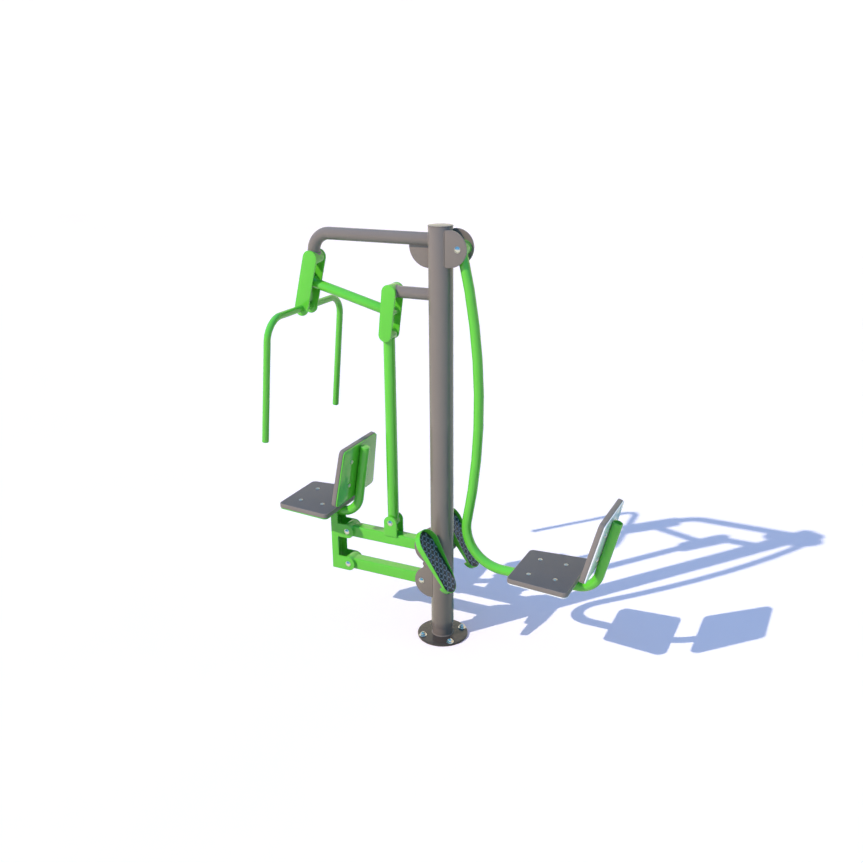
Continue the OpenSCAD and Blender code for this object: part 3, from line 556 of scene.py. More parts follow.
def block(x_low, x_high, y_half):
    """The outline of a rectangle."""
    return draw((x_low, -y_half), (x_high, -y_half), (x_high, y_half), (x_low, y_half))


def hex_nut(place, r, high, soft):
    bm = bmesh.new()
    bmesh.ops.create_circle(bm, cap_ends=True, segments=6, radius=r, matrix=place)
    pulled(bm, bm.faces[:][0], Z * high)
    return softened(bm, soft, 2, 30)


def end_caps(bm):
    return [f for f in bm.faces if len(f.verts) > 4]


def bar(start, way, r, *moves, segs=40, soft=1.2):
    """A round bar. A move is a length, or the centre, axis and degrees of a bend."""
    bm = bmesh.new()
    way = V(way).normalized()
    bmesh.ops.create_circle(bm, cap_ends=True, segments=segs, radius=r, matrix=stand(start, way))
    end = bm.faces[:][0]
    for move in moves:
        if isinstance(move, (int, float)):
            end = pulled(bm, end, way * move)
        else:
            centre, axis, turn = move
            made = bmesh.ops.spin(bm, geom=whole(end), cent=centre, axis=axis, angle=radians(turn),
                                  steps=max(8, round(abs(turn) / BEND_STEP)))["geom_last"]
            way = Matrix.Rotation(radians(turn), 3, axis) @ way
            end = of_kind(made, bmesh.types.BMFace)[0]
    bmesh.ops.recalc_face_normals(bm, faces=bm.faces[:])
    bevel(bm, list({e for f in end_caps(bm) for e in f.edges}), soft, 3)
    return bm


def straight_bar(middle, way, r, length, segs=32):
    return bar(V(middle) - V(way) * (length / 2), way, r, length, segs=segs, soft=0.6)


# Weld beads: their radii, how far they stand off a tube, and their ripple
BEAD, PLATE_BEAD, BAR_BEAD, LINK_BEAD, POST_BEAD, FOOT_BEAD = 2.3, 2.2, 1.9, 2.0, 2.6, 3.0
BEAD_OFF, RIPPLE, BEAD_STEP, BEAD_SIDES, BEAD_SWELL = 0.6, 6.0, 1.5, 6, 0.14


def bead(place, r, size=BEAD, press=None):
    """A rippled weld bead round a seam, which press moves onto the seam point by point."""
    bm = bmesh.new()
    bmesh.ops.create_circle(bm, segments=BEAD_SIDES, radius=size, matrix=stand((r, 0, 0), Y))
    turned(bm, int(2 * pi * r / BEAD_STEP))
    waves = round(2 * pi * r / RIPPLE)
    for v in bm.verts:
        a = atan2(v.co.y, v.co.x)
        mid = V((r * cos(a), r * sin(a), 0))
        v.co = mid + (v.co - mid) * (1 + BEAD_SWELL * sin(a * waves))
        if press:
            v.co = press(v.co)
    return moved(bm, place)


def seam(a, b, size=BEAD):
    """A straight rippled weld bead."""
    bm = bmesh.new()
    run = V(b) - V(a)
    steps = int(run.length / BEAD_STEP)
    bmesh.ops.create_circle(bm, cap_ends=True, segments=BEAD_SIDES, radius=size)
    bmesh.ops.spin(bm, geom=whole(bm.faces[:][0]), cent=(0, 0, 0), axis=Z, angle=0,
                   dvec=Z * (run.length / steps), steps=steps)
    for v in bm.verts:
        swell = 1 + BEAD_SWELL * sin(v.co.z / RIPPLE * 2 * pi)
        v.co.x, v.co.y = v.co.x * swell, v.co.y * swell
    return moved(bm, stand(a, run))


def onto(c, big):
    """Presses a point of a ring round Z onto a cylinder along X."""
    return c + Z * sqrt(max(big**2 - c.y**2, 1.0))


def saddle(p, way, along, r, big, size=BEAD):
    """The weld where a tube of radius r, leaving p, meets a cylinder along an axis."""
    return bead(stand(p, way, along), r + BEAD_OFF, size, lambda c: onto(c, big))


def sleeve(p, half, r, bore=BORE_R):
    """A sleeve across the unit with a bore."""
    bm = turned(draw((bore, -half), (r, -half), (r, half), (bore, half), upright=True))
    return moved(softened(bm, 1.6, 4), stand(at(p), Y))


# A domed head: how far its flange stands out and slants, and the height of that flange at the
# dome, at its shoulder and at its side
HEAD_OUT, HEAD_SLANT, HEAD_INNER, HEAD_SHOULDER, HEAD_SIDE = 2.2, 0.6, 1.7, 1.5, 0.9


def head(place, way, r=15.0, rim=2.0, high=7.0, segs=40):
    """A domed head on its own thin flange."""
    inner = r - HEAD_OUT
    big = (inner**2 + high**2) / (2 * high)
    dome = ((0, rim + high - big), -degrees(asin(inner / big)))
    bm = turned_solid((0, rim + high), dome, (inner, HEAD_INNER), (r - HEAD_SLANT, HEAD_SHOULDER),
                      (r, HEAD_SIDE), (r, 0), (0, 0), steps=segs)
    return moved(bm, stand(place, way))


def pin(name, p, outer, body, node):
    heads = [head(at(p, s * outer), Y * s) for s in SIDES]
    piece(name, joined(straight_bar(at(p), Y, PIN_R, outer * 2), *heads), "bright", body, node)


def long_outline(span, start_r, end_r):
    """A plate outline with a round end about the origin and another further along X."""
    a = degrees(asin((start_r - end_r) / span))
    s, c = sin(radians(a)), cos(radians(a))
    return draw((start_r * s, -start_r * c), (span + end_r * s, -end_r * c),
                ((span, 0), 180 - 2 * a), (start_r * s, start_r * c), ((0, 0), 180 + 2 * a))


def cross_place(origin, to, y):
    """Stands a flat shape across the unit, its X towards a place and its thickness towards -Y."""
    return stand(at(origin, y), -Y, at(to) - at(origin))


def level_place(origin, y):
    """Stands a flat shape across the unit with its X along X."""
    return cross_place(origin, (origin[0] + 1, origin[1]), y)


def pair(make, inner=FORK, origin=(0, 0), to=(1, 0)):
    """Two equal plates, one at each side of the middle plane."""
    return [moved(thick(make(), PLATE), cross_place(origin, to, y))
            for y in (-inner, inner + PLATE)]


def piece(name, bm, mats, body, *nodes, sharp=38):
    """Makes an object that rides on a body and stands for nodes of the part."""
    bmesh.ops.recalc_face_normals(bm, faces=bm.faces[:])
    mesh = bpy.data.meshes.new(name)
    bm.to_mesh(mesh)
    bm.free()
    mesh.transform(Matrix.Scale(0.001, 4))
    mesh.polygons.foreach_set("use_smooth", [True] * len(mesh.polygons))
    mesh.set_sharp_from_angle(angle=radians(sharp))
    obj = bpy.data.objects.new(name, mesh)
    scene.collection.objects.link(obj)
    for m in mats.split():
        mesh.materials.append(M[m])
    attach(obj, body)
    if nodes:
        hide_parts(*nodes)
    return obj


# The foot and the post
FLANGE_R, FLANGE_T, NECK_R, NECK_WALL, NECK_TOP = 128.0, 12.0, 52.85, 5.0, 211.0
FOOT_SEAM_R, FOOT_SEAM_Z, POST_SEAM_R, POST_SEAM_Z = 54.0, 13.0, 54.4, 60.5
STUD_RING, STUD_DEEP, STUD_UP, STUD_R, STUD_THIN = 107.0, 60.0, 14.0, 8.0, 7.0
THREAD_LOW, THREAD_HIGH, THREAD_PITCH, THREAD_DEEP = 5, 50, 3, 1
WASHER_R, WASHER_T, WASHER_PLAY = 20.0, 3.0, 0.5
NUT_R, NUT_H, NUT_DOME, NUT_TURN, NUT_RIM = 14.0, 10.0, 7.0, 0.7, 2.0
LID_OUT, LID_SLOPE = 1, 0.6
# How far a fitting keeps inside the part's own shape
SHY = 0.4


def tube(r, wall, low, high, steps=112):
    bm = turned(draw((r - wall, low), (r, low), (r, high), (r - wall, high), upright=True), steps)
    return softened(bm, 0.8)


def anchor(k):
    """A threaded stud with its washer, nut and dome."""
    threads = []
    for h in range(THREAD_LOW, THREAD_HIGH, THREAD_PITCH):
        threads += [(STUD_R, h - STUD_DEEP),
                    (STUD_R - THREAD_DEEP, h + THREAD_PITCH / 2 - STUD_DEEP)]
    stud = turned_solid((0, -STUD_DEEP), (STUD_THIN, -STUD_DEEP), *threads, (STUD_THIN, 0),
                        (STUD_THIN, STUD_UP), (0, STUD_UP), steps=24)
    top = FLANGE_T + WASHER_T
    washer = tube(WASHER_R, WASHER_R - STUD_R - WASHER_PLAY, FLANGE_T, top, 40)
    place = Matrix.Translation((0, 0, top)) @ Matrix.Rotation(k * NUT_TURN, 4, Z)
    nut = hex_nut(place, NUT_R, NUT_H - SHY, 0.9)
    dome = head((0, 0, top + NUT_H - NUT_RIM - SHY), Z, NUT_R - SHY, NUT_RIM, NUT_DOME + SHY, 32)
    a = pi / 4 + k * pi / 2
    spot = V((STUD_RING * cos(a), STUD_RING * sin(a), 0))
    return [shifted(bm, spot) for bm in (stud, washer, nut, dome)]


def base():
    bm = turned_solid((0, FLANGE_T), (FLANGE_R, FLANGE_T), (FLANGE_R, 0), (0, 0), steps=96)
    piece("flange_disc", softened(bm, 2.0, 4), "dark", "frame", "base_flange")
    bm = joined(tube(NECK_R, NECK_WALL, FLANGE_T, NECK_TOP),
                bead(stand((0, 0, FOOT_SEAM_Z), Z), FOOT_SEAM_R, FOOT_BEAD),
                bead(stand((0, 0, POST_SEAM_Z), Z), POST_SEAM_R, PLATE_BEAD))
    piece("neck", bm, "brown", "frame", "neck_tube")
    parts = [bm for k in range(4) for bm in anchor(k)]
    piece("anchor_nuts", joined(*parts), "bright", "frame", "anchor_studs", sharp=30)


def post():
    top, lid_r = POST_TOP - CAP_T, POST_R + LID_OUT
    piece("post_tube", tube(POST_R, POST_WALL, POST_LOW, top), "brown", "frame", "post")
    bm = turned_solid((0, POST_TOP), (lid_r, POST_TOP - LID_SLOPE), (lid_r, top), (0, top),
                      steps=112)
    piece("post_lid", softened(bm, 2.2, 4), "brown", "frame", "post_cap")


# The fixed arms. They end inside the post and inside a sleeve, at these distances from its axis.
IN_POST, IN_SLEEVE = POST_R - 11, BEARING_R - 9
GUSSET_T, GUSSET_SEAM_Y, SEAM_END = 8, 5, 4


def arms():
    corner = (LEVER[0] + ARM_BEND, ARM_Z - ARM_BEND)
    bm = joined(bar((-IN_POST, 0, ARM_Z), -X, ARM_R, -corner[0] - IN_POST, (at(corner), -Y, 90),
                    corner[1] - LEVER[1] - IN_SLEEVE),
                saddle((0, 0, ARM_Z), -X, Z, ARM_R, POST_R),
                saddle(at(LEVER), Z, Y, ARM_R, BEARING_R))
    piece("long_arm", bm, "brown", "frame", "top_arm")
    wall, low = -POST_R, ARM_Z - ARM_R
    tip, foot = wall - GUSSET_R, low - GUSSET_R
    bm = thick(draw((wall, low), (tip, low), ((wall, low), 90)), GUSSET_T, 1.0)
    parts = [moved(bm, level_place((0, 0), GUSSET_T / 2))]
    for y in (-GUSSET_SEAM_Y, GUSSET_SEAM_Y):
        parts.append(seam((tip + 7, y, low + 0.7), (wall - 3, y, low + 0.7)))
        parts.append(seam((wall - 0.4, y, low - SEAM_END), (wall - 0.4, y, foot + SEAM_END)))
    piece("arm_web", joined(*parts), "brown", "frame", "top_arm_gusset")
    bm = joined(bar((-IN_POST, 0, ROCKER[1]), -X, SHORT_ARM_R, -ROCKER[0] - IN_SLEEVE - IN_POST),
                saddle((0, 0, ROCKER[1]), -X, Z, SHORT_ARM_R, POST_R),
                saddle(at(ROCKER), X, Y, SHORT_ARM_R, BEARING_R))
    piece("short_arm", bm, "brown", "frame", "rocker_arm")
    piece("lever_sleeve", sleeve(LEVER, HALF, BEARING_R), "green", "frame", "lever_bearing")
    piece("rocker_sleeve", sleeve(ROCKER, HALF, BEARING_R), "green", "frame", "rocker_bearing")


# The cheeks on the post and the lug between the two square arms
CHEEK_R, CHEEK_CUT, SWING_CHEEK, ARM_CHEEK = 83.0, 38.6, 62.0, -50.0
CHEEK_SEAM_X, CHEEK_SEAM_Y, CHEEK_SEAM_HALF = 36.0, 45.4, 74.0
STOP, STOP_R, STOP_REACH, STOP_SOFT = (-78.0, 400.0), 15.0, 33.5, 1.6


def cheek_pair(centre_x, z):
    """Round cheeks cut off straight where they meet the post."""
    out = 1 if centre_x > 0 else -1
    half = degrees(acos((CHEEK_CUT * out - centre_x) * -out / CHEEK_R))

    def make():
        a = radians(180 + half)
        return draw((CHEEK_R * cos(a), CHEEK_R * sin(a)), ((0, 0), 360 - 2 * half))
    parts = pair(make, origin=(centre_x, z), to=(centre_x + out, z))
    for s in SIDES:
        ends = [(out * CHEEK_SEAM_X, s * CHEEK_SEAM_Y, z + k * CHEEK_SEAM_HALF) for k in SIDES]
        parts.append(seam(*ends, POST_BEAD))
    return parts


def cheeks():
    piece("swing_ears", joined(*cheek_pair(SWING_CHEEK, SWING_Z)), "brown", "frame", "swing_cheeks")
    both = cheek_pair(ARM_CHEEK, UP_POST[1]) + cheek_pair(ARM_CHEEK, LOW_POST[1])
    piece("arm_ears", joined(*both), "brown", "frame", "arm_cheeks")
    bm = draw((STOP_REACH, -STOP_R), (STOP_REACH, STOP_R), (0, STOP_R), ((0, 0), 180))
    bm = moved(thick(bm, HALF * 2, STOP_SOFT), level_place(STOP, HALF))
    piece("rest_lug", bm, "brown", "frame", "stop_lug")
    pin("swing_bolt", SWING, OUTER, "frame", "swing_pin")
    pin("upper_post_bolt", UP_POST, OUTER, "frame", "upper_post_pin")
    pin("lower_post_bolt", LOW_POST, OUTER, "frame", "lower_post_pin")


# The pedals. In its own frame a pedal's X runs to the toe and its Z out of the tread. Their round
# ends are centred at HEEL and TOE.
HEEL, TOE = HEEL_R - PEDAL_LEN / 2, PEDAL_LEN / 2 - TOE_R
RIM_LEAST, RIM_SOFT, HEEL_DEEP, HEEL_LEN, HEEL_IN, HEEL_SOFT = 1.6, 1.3, 22.0, 55.0, 3, 9
MAT_T, MAT_IN, MAT_SOFT = 3.0, 4.3, 0.8
PAD_PITCH, PAD_LONG, PAD_WIDE, PAD_HIGH, PAD_Z, PAD_CLEAR = 19.5, 12.0, 5.0, 2.6, 2.4, 12
PAD_ROWS, PAD_LINES, PAD_TILT = 9, 5, 45
RAIL_IN, RAIL_ROOT, RAIL_SHORT = 6, 14, 50


def pedal_place(side):
    lean = radians(PEDAL_LEAN)
    toe, out = V((-sin(lean), 0, cos(lean))), V((cos(lean), 0, sin(lean)))
    m = Matrix((toe, Y, out)).transposed().to_4x4()
    m.translation = V((PEDAL_X, side * PEDAL_Y, PEDAL_Z))
    return m


def pedal_outline(within=0.0):
    return shifted(long_outline(TOE - HEEL, HEEL_R - within, TOE_R - within), X * HEEL)


def rim_height(side, x, y):
    """The rim is lower on the side away from the post, and runs down to the heel."""
    high = (RIM_HIGH + RIM_LOW) / 2 - side * y * (RIM_HIGH - RIM_LOW) / (2 * TOE_R)
    from_toe = (PEDAL_LEN / 2 - x) / PEDAL_LEN
    run = RIM_HIGH * (RIM_SHARE - from_toe) / (RIM_SHARE - FLAT_SHARE)
    return max(min(high, run), RIM_LEAST)


def pedal_tray(side):
    """A tray, rounded along its rim and under its base."""
    bm = shifted(thick(pedal_outline(), PEDAL_BASE + RIM_HIGH, 0), Z * -PEDAL_BASE)
    bmesh.ops.recalc_face_normals(bm, faces=bm.faces[:])
    tray_floor = max(bm.faces, key=lambda f: f.calc_center_median().z)
    inset(bm, tray_floor, PEDAL_WALL)
    pulled(bm, tray_floor, Z * -RIM_HIGH)
    for v in bm.verts:
        if v.co.z > RIM_HIGH - 1:
            v.co.z = rim_height(side, v.co.x, v.co.y)
    return softened(bm, RIM_SOFT, only=lambda e: min(v.co.z for v in e.verts) > 1
                    or max(v.co.z for v in e.verts) < -1)


def heel_block():
    """A block under the heel, rounded below."""
    cut = HEEL_LEN - PEDAL_LEN / 2
    a = acos((cut - HEEL) / HEEL_R)
    bm = draw((cut, HEEL_R * sin(a)), ((HEEL, 0), 360 - 2 * degrees(a)))
    low = -PEDAL_BASE - HEEL_DEEP
    shifted(thick(bm, HEEL_DEEP + HEEL_IN, 0), Z * low)
    return softened(bm, HEEL_SOFT, 5, only=lambda e: max(v.co.z for v in e.verts) < low + 1)


def grip_mat():
    """A mat with raised pads that lean to the left and to the right in turn."""
    bm = thick(pedal_outline(MAT_IN), MAT_T, MAT_SOFT, 2)
    for i in range(-PAD_ROWS, PAD_ROWS + 1):
        for j in range(-PAD_LINES, PAD_LINES + 1):
            x, y = i * PAD_PITCH, j * PAD_PITCH
            near = min(max(x, HEEL), TOE)
            room = HEEL_R + (TOE_R - HEEL_R) * (near - HEEL) / (TOE - HEEL)
            if V((x - near, y)).length > room - PAD_CLEAR:
                continue
            tilt = radians(PAD_TILT if (i + j) % 2 else -PAD_TILT)
            m = (Matrix.Translation((x, y, PAD_Z)) @ Matrix.Rotation(tilt, 4, Z)
                 @ Matrix.Diagonal((PAD_LONG, PAD_WIDE, PAD_HIGH, 1)))
            made = bmesh.ops.create_uvsphere(bm, u_segments=12, v_segments=6, radius=1.0, matrix=m)
            # The pads take the paler colour; the mat between them is near black, a painted shade
            for f in {f for v in made["verts"] for f in v.link_faces}:
                f.material_index = 1
    return bm


def pedals():
    for side, tag in zip(SIDES, ("near", "far")):
        bm = moved(joined(pedal_tray(side), heel_block()), pedal_place(side))
        piece(tag + "_footplate", bm, "green", "frame", tag + "_pedal")
        piece(tag + "_grip_mat", moved(grip_mat(), pedal_place(side)), "mat stud", "frame",
              tag + "_tread", sharp=50)
    place = pedal_place(0) @ V((0, 0, -PEDAL_BASE - WELD_GAP - TUBE_R))
    start = sqrt(POST_R**2 - (abs(place.x) + RAIL_IN) ** 2) - RAIL_ROOT
    outer = PEDAL_Y + TOE_R - RAIL_SHORT
    bm = joined(*[bar((place.x, s * start, place.z), Y * s, TUBE_R, outer - start) for s in SIDES])
    piece("pedal_rail", bm, "brown", "frame", "pedal_bars")


# The press linkage
WEB_T, WEB_FROM, WEB_TO, WEB_SOFT = 6.0, 58.0, 214.0, 0.6
BAR_SEAMS, BAR_SEAM_R, BAR_SOFT = (-45.6, -36.4, 36.4, 45.6), 18, 2.2
ROCKER_R, ROCKER_END_R = 36.5, 33.0
LINK_END_BORE, LINK_SHORT, ROD_END_BORE, ROD_SHORT = 8.7, 30, 13, 36


def between_eyes(low, high, r, short, segs, size):
    """A tube between two pivots, and the welds to the sleeves at its ends."""
    run = at(high) - at(low)
    middle = (at(low) + at(high)) / 2
    return (straight_bar(middle, run.normalized(), r, run.length - short, segs),
            saddle(at(low), run, Y, r - WELD_GAP, r, size),
            saddle(at(high), -run, Y, r - WELD_GAP, r, size))


def lever_fork():
    parts = pair(lambda: long_outline(BAR_DROP, LEVER_W, LEVER_W), origin=LEVER, to=BAR)
    down = (at(BAR) - at(LEVER)).normalized()
    front = Y.cross(down)
    front = front if front.x < 0 else -front
    web = thick(block(WEB_FROM, WEB_TO, FORK), WEB_T, WEB_SOFT)
    parts.append(moved(web, stand(at(LEVER) + front * (LEVER_W - WEB_T), front, down)))
    for s in SIDES:
        ends = [at(LEVER, s * (FORK - SHY)) + down * d + front * (LEVER_W - WEB_T - WEB_SOFT)
                for d in (WEB_FROM, WEB_TO)]
        parts.append(seam(*ends, PLATE_BEAD))
    piece("lever_fork", joined(*parts), "green", "lever", "lever_plates")


def push_bar():
    drop = V((-sin(radians(GRIP_TILT)), 0, -cos(radians(GRIP_TILT))))
    fore = drop.cross(Y)
    reach, leg = GRIP_HALF - BAR_BEND, GRIP_LEN - BAR_BEND
    start = at(BAR, -GRIP_HALF) + drop * GRIP_LEN
    turn_way = 1 if (Matrix.Rotation(pi / 2, 3, fore) @ -drop).dot(Y) > 0 else -1
    bends = [(at(BAR, s * reach) + drop * BAR_BEND, fore * turn_way, 90) for s in SIDES]
    parts = [bar(start, -drop, BAR_R, leg, bends[0], reach * 2, bends[1], leg, soft=BAR_SOFT)]
    parts += [bead(stand(at(BAR, y), Y), BAR_SEAM_R, BAR_BEAD) for y in BAR_SEAMS]
    piece("push_bar", joined(*parts), "green", "lever", "handlebar", "grip_ends")


def press_linkage():
    lever_fork()
    push_bar()
    bm = joined(*between_eyes(LEVER_LINK, ROCKER_LINK, LINK_R, LINK_SHORT, 40, LINK_BEAD),
                sleeve(LEVER_LINK, HALF, LINK_R), sleeve(ROCKER_LINK, HALF, LINK_R, LINK_END_BORE))
    piece("link_bar", bm, "green", "link", "link_tube", "link_sleeves")
    plates = pair(lambda: long_outline(ROCKER_ROD_DROP, ROCKER_R, ROCKER_END_R), origin=ROCKER,
                  to=ROCKER_ROD)
    piece("rocker_fork", joined(*plates), "green", "rocker", "rocker_plates")
    bm = joined(*between_eyes(ROD_LOW, ROD_HIGH, ROD_R, ROD_SHORT, 48, PLATE_BEAD),
                sleeve(ROD_LOW, SQUARE - 1, ROD_R), sleeve(ROD_HIGH, HALF, ROD_R, ROD_END_BORE))
    piece("lift_rod", bm, "green", "rod", "rod_tube", "rod_sleeves")


# The square arms, and the ears on the upper one that hold the rod
SQUARE_CORNER, IN_ARM_SLEEVE, SQUARE_SEAM_R, SQUARENESS = 6.0, 20, SQUARE + 0.4, 10
EAR_HALF, EAR_FOOT, EAR_CORNER = 36.0, 514.0, 3.0
EAR_SEAM_HALF, EAR_SEAM_Y, EAR_SEAM_Z = 34, 31.4, 512.8


def square_press(c):
    """Presses a point of a round ring onto the square arm and its sleeve."""
    a = atan2(c.y, c.x)
    grow = 1 / (abs(cos(a)) ** SQUARENESS + abs(sin(a)) ** SQUARENESS) ** (1 / SQUARENESS)
    return onto(V((c.x * grow, c.y * grow, c.z)), ARM_SLEEVE_R)


def square_arm(name, post_end, seat_end, body, *nodes):
    start, end = seat_end[0] + IN_ARM_SLEEVE, post_end[0] - IN_ARM_SLEEVE
    bm = thick(rounded(block(-SQUARE, SQUARE, SQUARE), SQUARE_CORNER), end - start, 0)
    parts = [moved(bm, stand((start, 0, post_end[1]), X, Y))]
    for p, s in ((seat_end, 1), (post_end, -1)):
        parts.append(sleeve(p, HALF, ARM_SLEEVE_R))
        parts.append(bead(stand(at(p), X * s, Y), SQUARE_SEAM_R, BEAD, square_press))
    piece(name, joined(*parts), "green", body, *nodes)


def parallel_arms():
    square_arm("upper_beam", UP_POST, UP_SEAT, "upper_arm", "upper_arm", "upper_arm_sleeves")
    square_arm("lower_beam", LOW_POST, LOW_SEAT, "lower_arm", "lower_arm", "lower_arm_sleeves")
    left, right = [(s * EAR_HALF, EAR_FOOT - ROD_LOW[1]) for s in SIDES]

    def ear():
        bm = draw(right, (EAR_HALF, 0), ((0, 0), 180), left)
        return rounded(bm, EAR_CORNER, right, left, segs=4)
    parts = pair(ear, SQUARE, ROD_LOW, (ROD_LOW[0] + 1, ROD_LOW[1]))
    for s in SIDES:
        ends = [(ROD_LOW[0] + k * EAR_SEAM_HALF, s * EAR_SEAM_Y, EAR_SEAM_Z) for k in SIDES]
        parts.append(seam(*ends, PLATE_BEAD))
    piece("rod_ears", joined(*parts), "green", "upper_arm", "rod_fork")
    pin("rod_bolt", ROD_LOW, SQUARE + PLATE, "upper_arm", "rod_fork_pin")


# The carrier of the press seat
EDGE_X, STRIP, EAR_R, EAR_FILLET, STRIP_CORNER = -620.0, 39.0, 37.5, 5.0, 3.0
CARRIER_SEAM_X, CARRIER_SEAM_Y, SEAM_SHORT = EDGE_X + WEB_T + SHY, 36.4, 2


def carrier_outline():
    inner, foot = EDGE_X + STRIP, LOW_SEAT[1] - EAR_R
    top = PRESS["tube_z"] + TUBE_R + WELD_GAP
    low, high, x = LOW_SEAT[1], UP_SEAT[1], UP_SEAT[0]
    crook, under, over = (inner, low + EAR_R), (inner, high - EAR_R), (inner, high + EAR_R)
    bm = draw((EDGE_X, foot), (x, foot), ((x, low), 180), crook, under, (x, high - EAR_R),
              ((x, high), 180), over, (inner, top), (EDGE_X, top))
    rounded(bm, EAR_FILLET, crook, under, over, segs=4)
    return rounded(bm, STRIP_CORNER, (EDGE_X, foot), (inner, top), (EDGE_X, top), segs=4)


def seat_carrier():
    parts = pair(carrier_outline)
    foot, top = LOW_SEAT[1] - EAR_R, PRESS["tube_z"] - TUBE_R - WELD_GAP
    web = thick(block(foot, top, FORK), WEB_T, WEB_SOFT)
    parts.append(moved(web, stand((EDGE_X, 0, 0), X, Z)))
    for y in (-CARRIER_SEAM_Y, CARRIER_SEAM_Y):
        parts.append(seam((CARRIER_SEAM_X, y, foot + SEAM_SHORT),
                          (CARRIER_SEAM_X, y, top - SEAM_SHORT), PLATE_BEAD))
    piece("carrier", joined(*parts), "green", "seat_carrier", "seat_bracket")
    pin("upper_seat_bolt", UP_SEAT, OUTER, "seat_carrier", "upper_seat_pin")
    pin("lower_seat_bolt", LOW_SEAT, OUTER, "seat_carrier", "lower_seat_pin")


# The seats. In its own frame a panel's X runs from its free end and its Z out of its face.
BOARD_SOFT, BACKING_SOFT, SEAT_TUBE_SOFT = 3.6, 1.0, 1.6
BOLT_ROWS, BOLT_HALF, BOLT_R, BOLT_IN, BOLT_LEN = (82.0, 213.0), 82.0, 4.8, 1, 8.6
BOLT_HEAD_R, BOLT_HEAD_H, BOLT_RIM, BOLT_NUT_R, BOLT_NUT_H = 11.0, 4.2, 1.2, 10.8, 5.6
# Where the press seat's tube starts behind the front, where the swinging tube starts below its
# pivot, and the open mouth of that tube
PRESS_TUBE_BACK, SWING_BELOW, MOUTH_WALL, MOUTH_DEEP = 60, 26, 3.2, 9.0


def seat_place(seat):
    return Matrix.Translation((seat["front"], 0, seat["top"] - PANEL_T))


def bend_centre(seat):
    return at((seat["bend_x"], seat["tube_z"] + BEND_R))


def back_place(seat):
    lean = radians(seat["lean"])
    run, out = V((sin(lean), 0, cos(lean))), V((-cos(lean), 0, sin(lean)))
    m = Matrix((-run, Y, out)).transposed().to_4x4()
    m.translation = (bend_centre(seat) + run * (seat["gap"] + PANEL)
                     - out * (BEND_R - TUBE_R - WELD_GAP - BACKING))
    return m


def back_moves(seat):
    """The bend behind a seat and the straight tube up its back."""
    return (bend_centre(seat), Y, -(90 - seat["lean"])), UPRIGHT


def panel_outline(within=0.0):
    a, b, far = PANEL_FREE - within, PANEL_HINGE - within, PANEL - within
    bm = draw((within, -a), (far, -b), (far, b), (within, a))
    return rounded(bm, PANEL_CORNER - within)


def panel_set(tag, place, body, backing):
    """A board on its backing plate, with four bolts and their nuts."""
    # Its sides take the lighter board copy, painted light; its faces the darker one, painted shade
    bm = moved(thick(panel_outline(), PANEL_T, BOARD_SOFT, 5, 1), place)
    piece(tag + "_board", bm, "board board_edge", body, tag + "_panel", sharp=60)
    bm = shifted(thick(panel_outline(BACKING_IN), BACKING, BACKING_SOFT), Z * -BACKING)
    piece(tag + "_plate", moved(bm, place), backing, body, tag + "_backing")
    parts = []
    for u in BOLT_ROWS:
        for v in (-BOLT_HALF, BOLT_HALF):
            parts += [head((u, v, PANEL_T - SHY), Z, BOLT_HEAD_R, BOLT_RIM, BOLT_HEAD_H, 32),
                      hex_nut(Matrix.Translation((u, v, -BACKING)), BOLT_NUT_R, -BOLT_NUT_H, 0.8),
                      bar((u, v, BOLT_IN - BACKING), -Z, BOLT_R, BOLT_LEN, segs=20, soft=0.7)]
    piece(tag + "_fixings", moved(joined(*parts), place), "dull", body, tag + "_bolts", sharp=30)


def open_end(bm, place):
    """Hollows the end of a bent tube that lies nearest to a place."""
    end = min(end_caps(bm), key=lambda f: (f.calc_center_median() - V(place)).length)
    inset(bm, end, MOUTH_WALL)
    pulled(bm, end, -end.normal * MOUTH_DEEP)


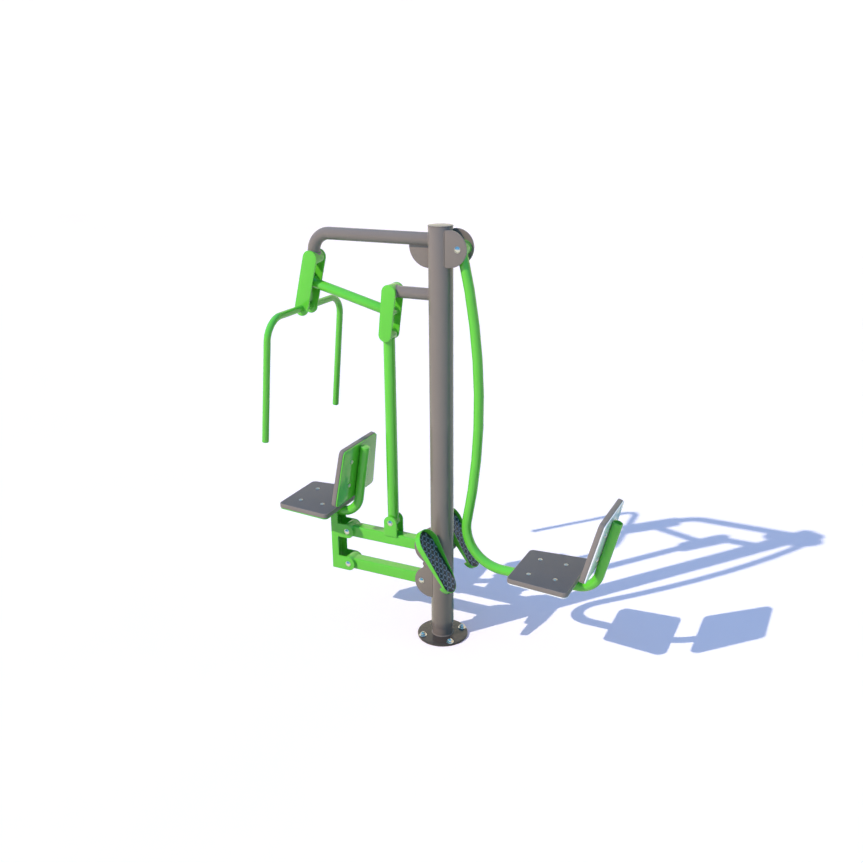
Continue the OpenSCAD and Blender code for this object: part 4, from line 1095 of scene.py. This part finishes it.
def seats():
    start = PRESS["front"] + PRESS_TUBE_BACK
    bm = bar((start, 0, PRESS["tube_z"]), X, TUBE_R, PRESS["bend_x"] - start, *back_moves(PRESS),
             soft=SEAT_TUBE_SOFT)
    piece("press_tube", bm, "green", "seat_carrier", "press_seat_tube")
    panel_set("press_seat", seat_place(PRESS), "seat_carrier", "green")
    panel_set("press_back", back_place(PRESS), "seat_carrier", "green")
    high = asin((SWING_Z - CROWN[1]) / ARC_R) - SWING_BELOW / ARC_R
    top = at(ARC) + V((cos(high), 0, sin(high))) * ARC_R
    bm = bar(top, V((sin(high), 0, -cos(high))), TUBE_R, (at(ARC), Y, degrees(high - MEET)),
             (at(FRONT), -Y, 90 - degrees(MEET)), LEG["bend_x"] - FRONT[0], *back_moves(LEG),
             soft=SEAT_TUBE_SOFT)
    open_end(bm, (LEG["bend_x"] + BEND_R, 0, LEG["top"] + UPRIGHT))
    bm = joined(bm, saddle(at(SWING), top - at(SWING), Y, TUBE_R, BEARING_R))
    piece("swing_pipe", bm, "green", "leg_swing", "swing_tube")
    piece("swing_sleeve", sleeve(SWING, HALF, BEARING_R), "green", "leg_swing", "swing_bearing")
    panel_set("leg_seat", seat_place(LEG), "leg_swing", "white")
    panel_set("leg_back", back_place(LEG), "leg_swing", "white")


# The floor, in metres: half its width, its front, where it bends up, and the wall behind
FLOOR_HALF, FLOOR_FRONT, FLOOR_BACK, SWEEP_R, WALL_UP = 50, -40, 14, 4, 16


def floor():
    """A floor that sweeps up into a wall far behind."""
    bm = bmesh.new()
    edge = bm.edges.new([bm.verts.new((x, FLOOR_FRONT, 0)) for x in (-FLOOR_HALF, FLOOR_HALF)])

    def onward(edge, way):
        made = bmesh.ops.extrude_edge_only(bm, edges=[edge])["geom"]
        bmesh.ops.translate(bm, vec=way, verts=of_kind(made, bmesh.types.BMVert))
        return of_kind(made, bmesh.types.BMEdge)[0]
    edge = onward(edge, (0, FLOOR_BACK - FLOOR_FRONT, 0))
    made = bmesh.ops.spin(bm, geom=[edge], cent=(0, FLOOR_BACK, SWEEP_R), axis=X, angle=pi / 2,
                          steps=12)["geom_last"]
    onward(of_kind(made, bmesh.types.BMEdge)[0], (0, 0, WALL_UP))
    bmesh.ops.recalc_face_normals(bm, faces=bm.faces[:])
    mesh = bpy.data.meshes.new("floor")
    bm.to_mesh(mesh)
    bm.free()
    mesh.polygons.foreach_set("use_smooth", [True] * len(mesh.polygons))
    mesh.materials.append(M["floor"])
    obj = bpy.data.objects.new("floor", mesh)
    scene.collection.objects.link(obj)


look()
light_up()
scene.view_settings.view_transform = "Standard"
M = make_materials()
SLOTS = {"green_paint": "green", "brown_paint": "brown", "dark_paint": "dark",
         "white_paint": "white", "bright_bolts": "bright", "seat_board": "board",
         "tread_mat": "mat"}
for part in frame["record"]["subparts"]:
    mesh = frame["nodes"][part["node"]].data
    mesh.materials.clear()
    mesh.materials.append(M[SLOTS[part["material_slot"]]])
base()
post()
arms()
cheeks()
pedals()
press_linkage()
parallel_arms()
seat_carrier()
seats()
floor()
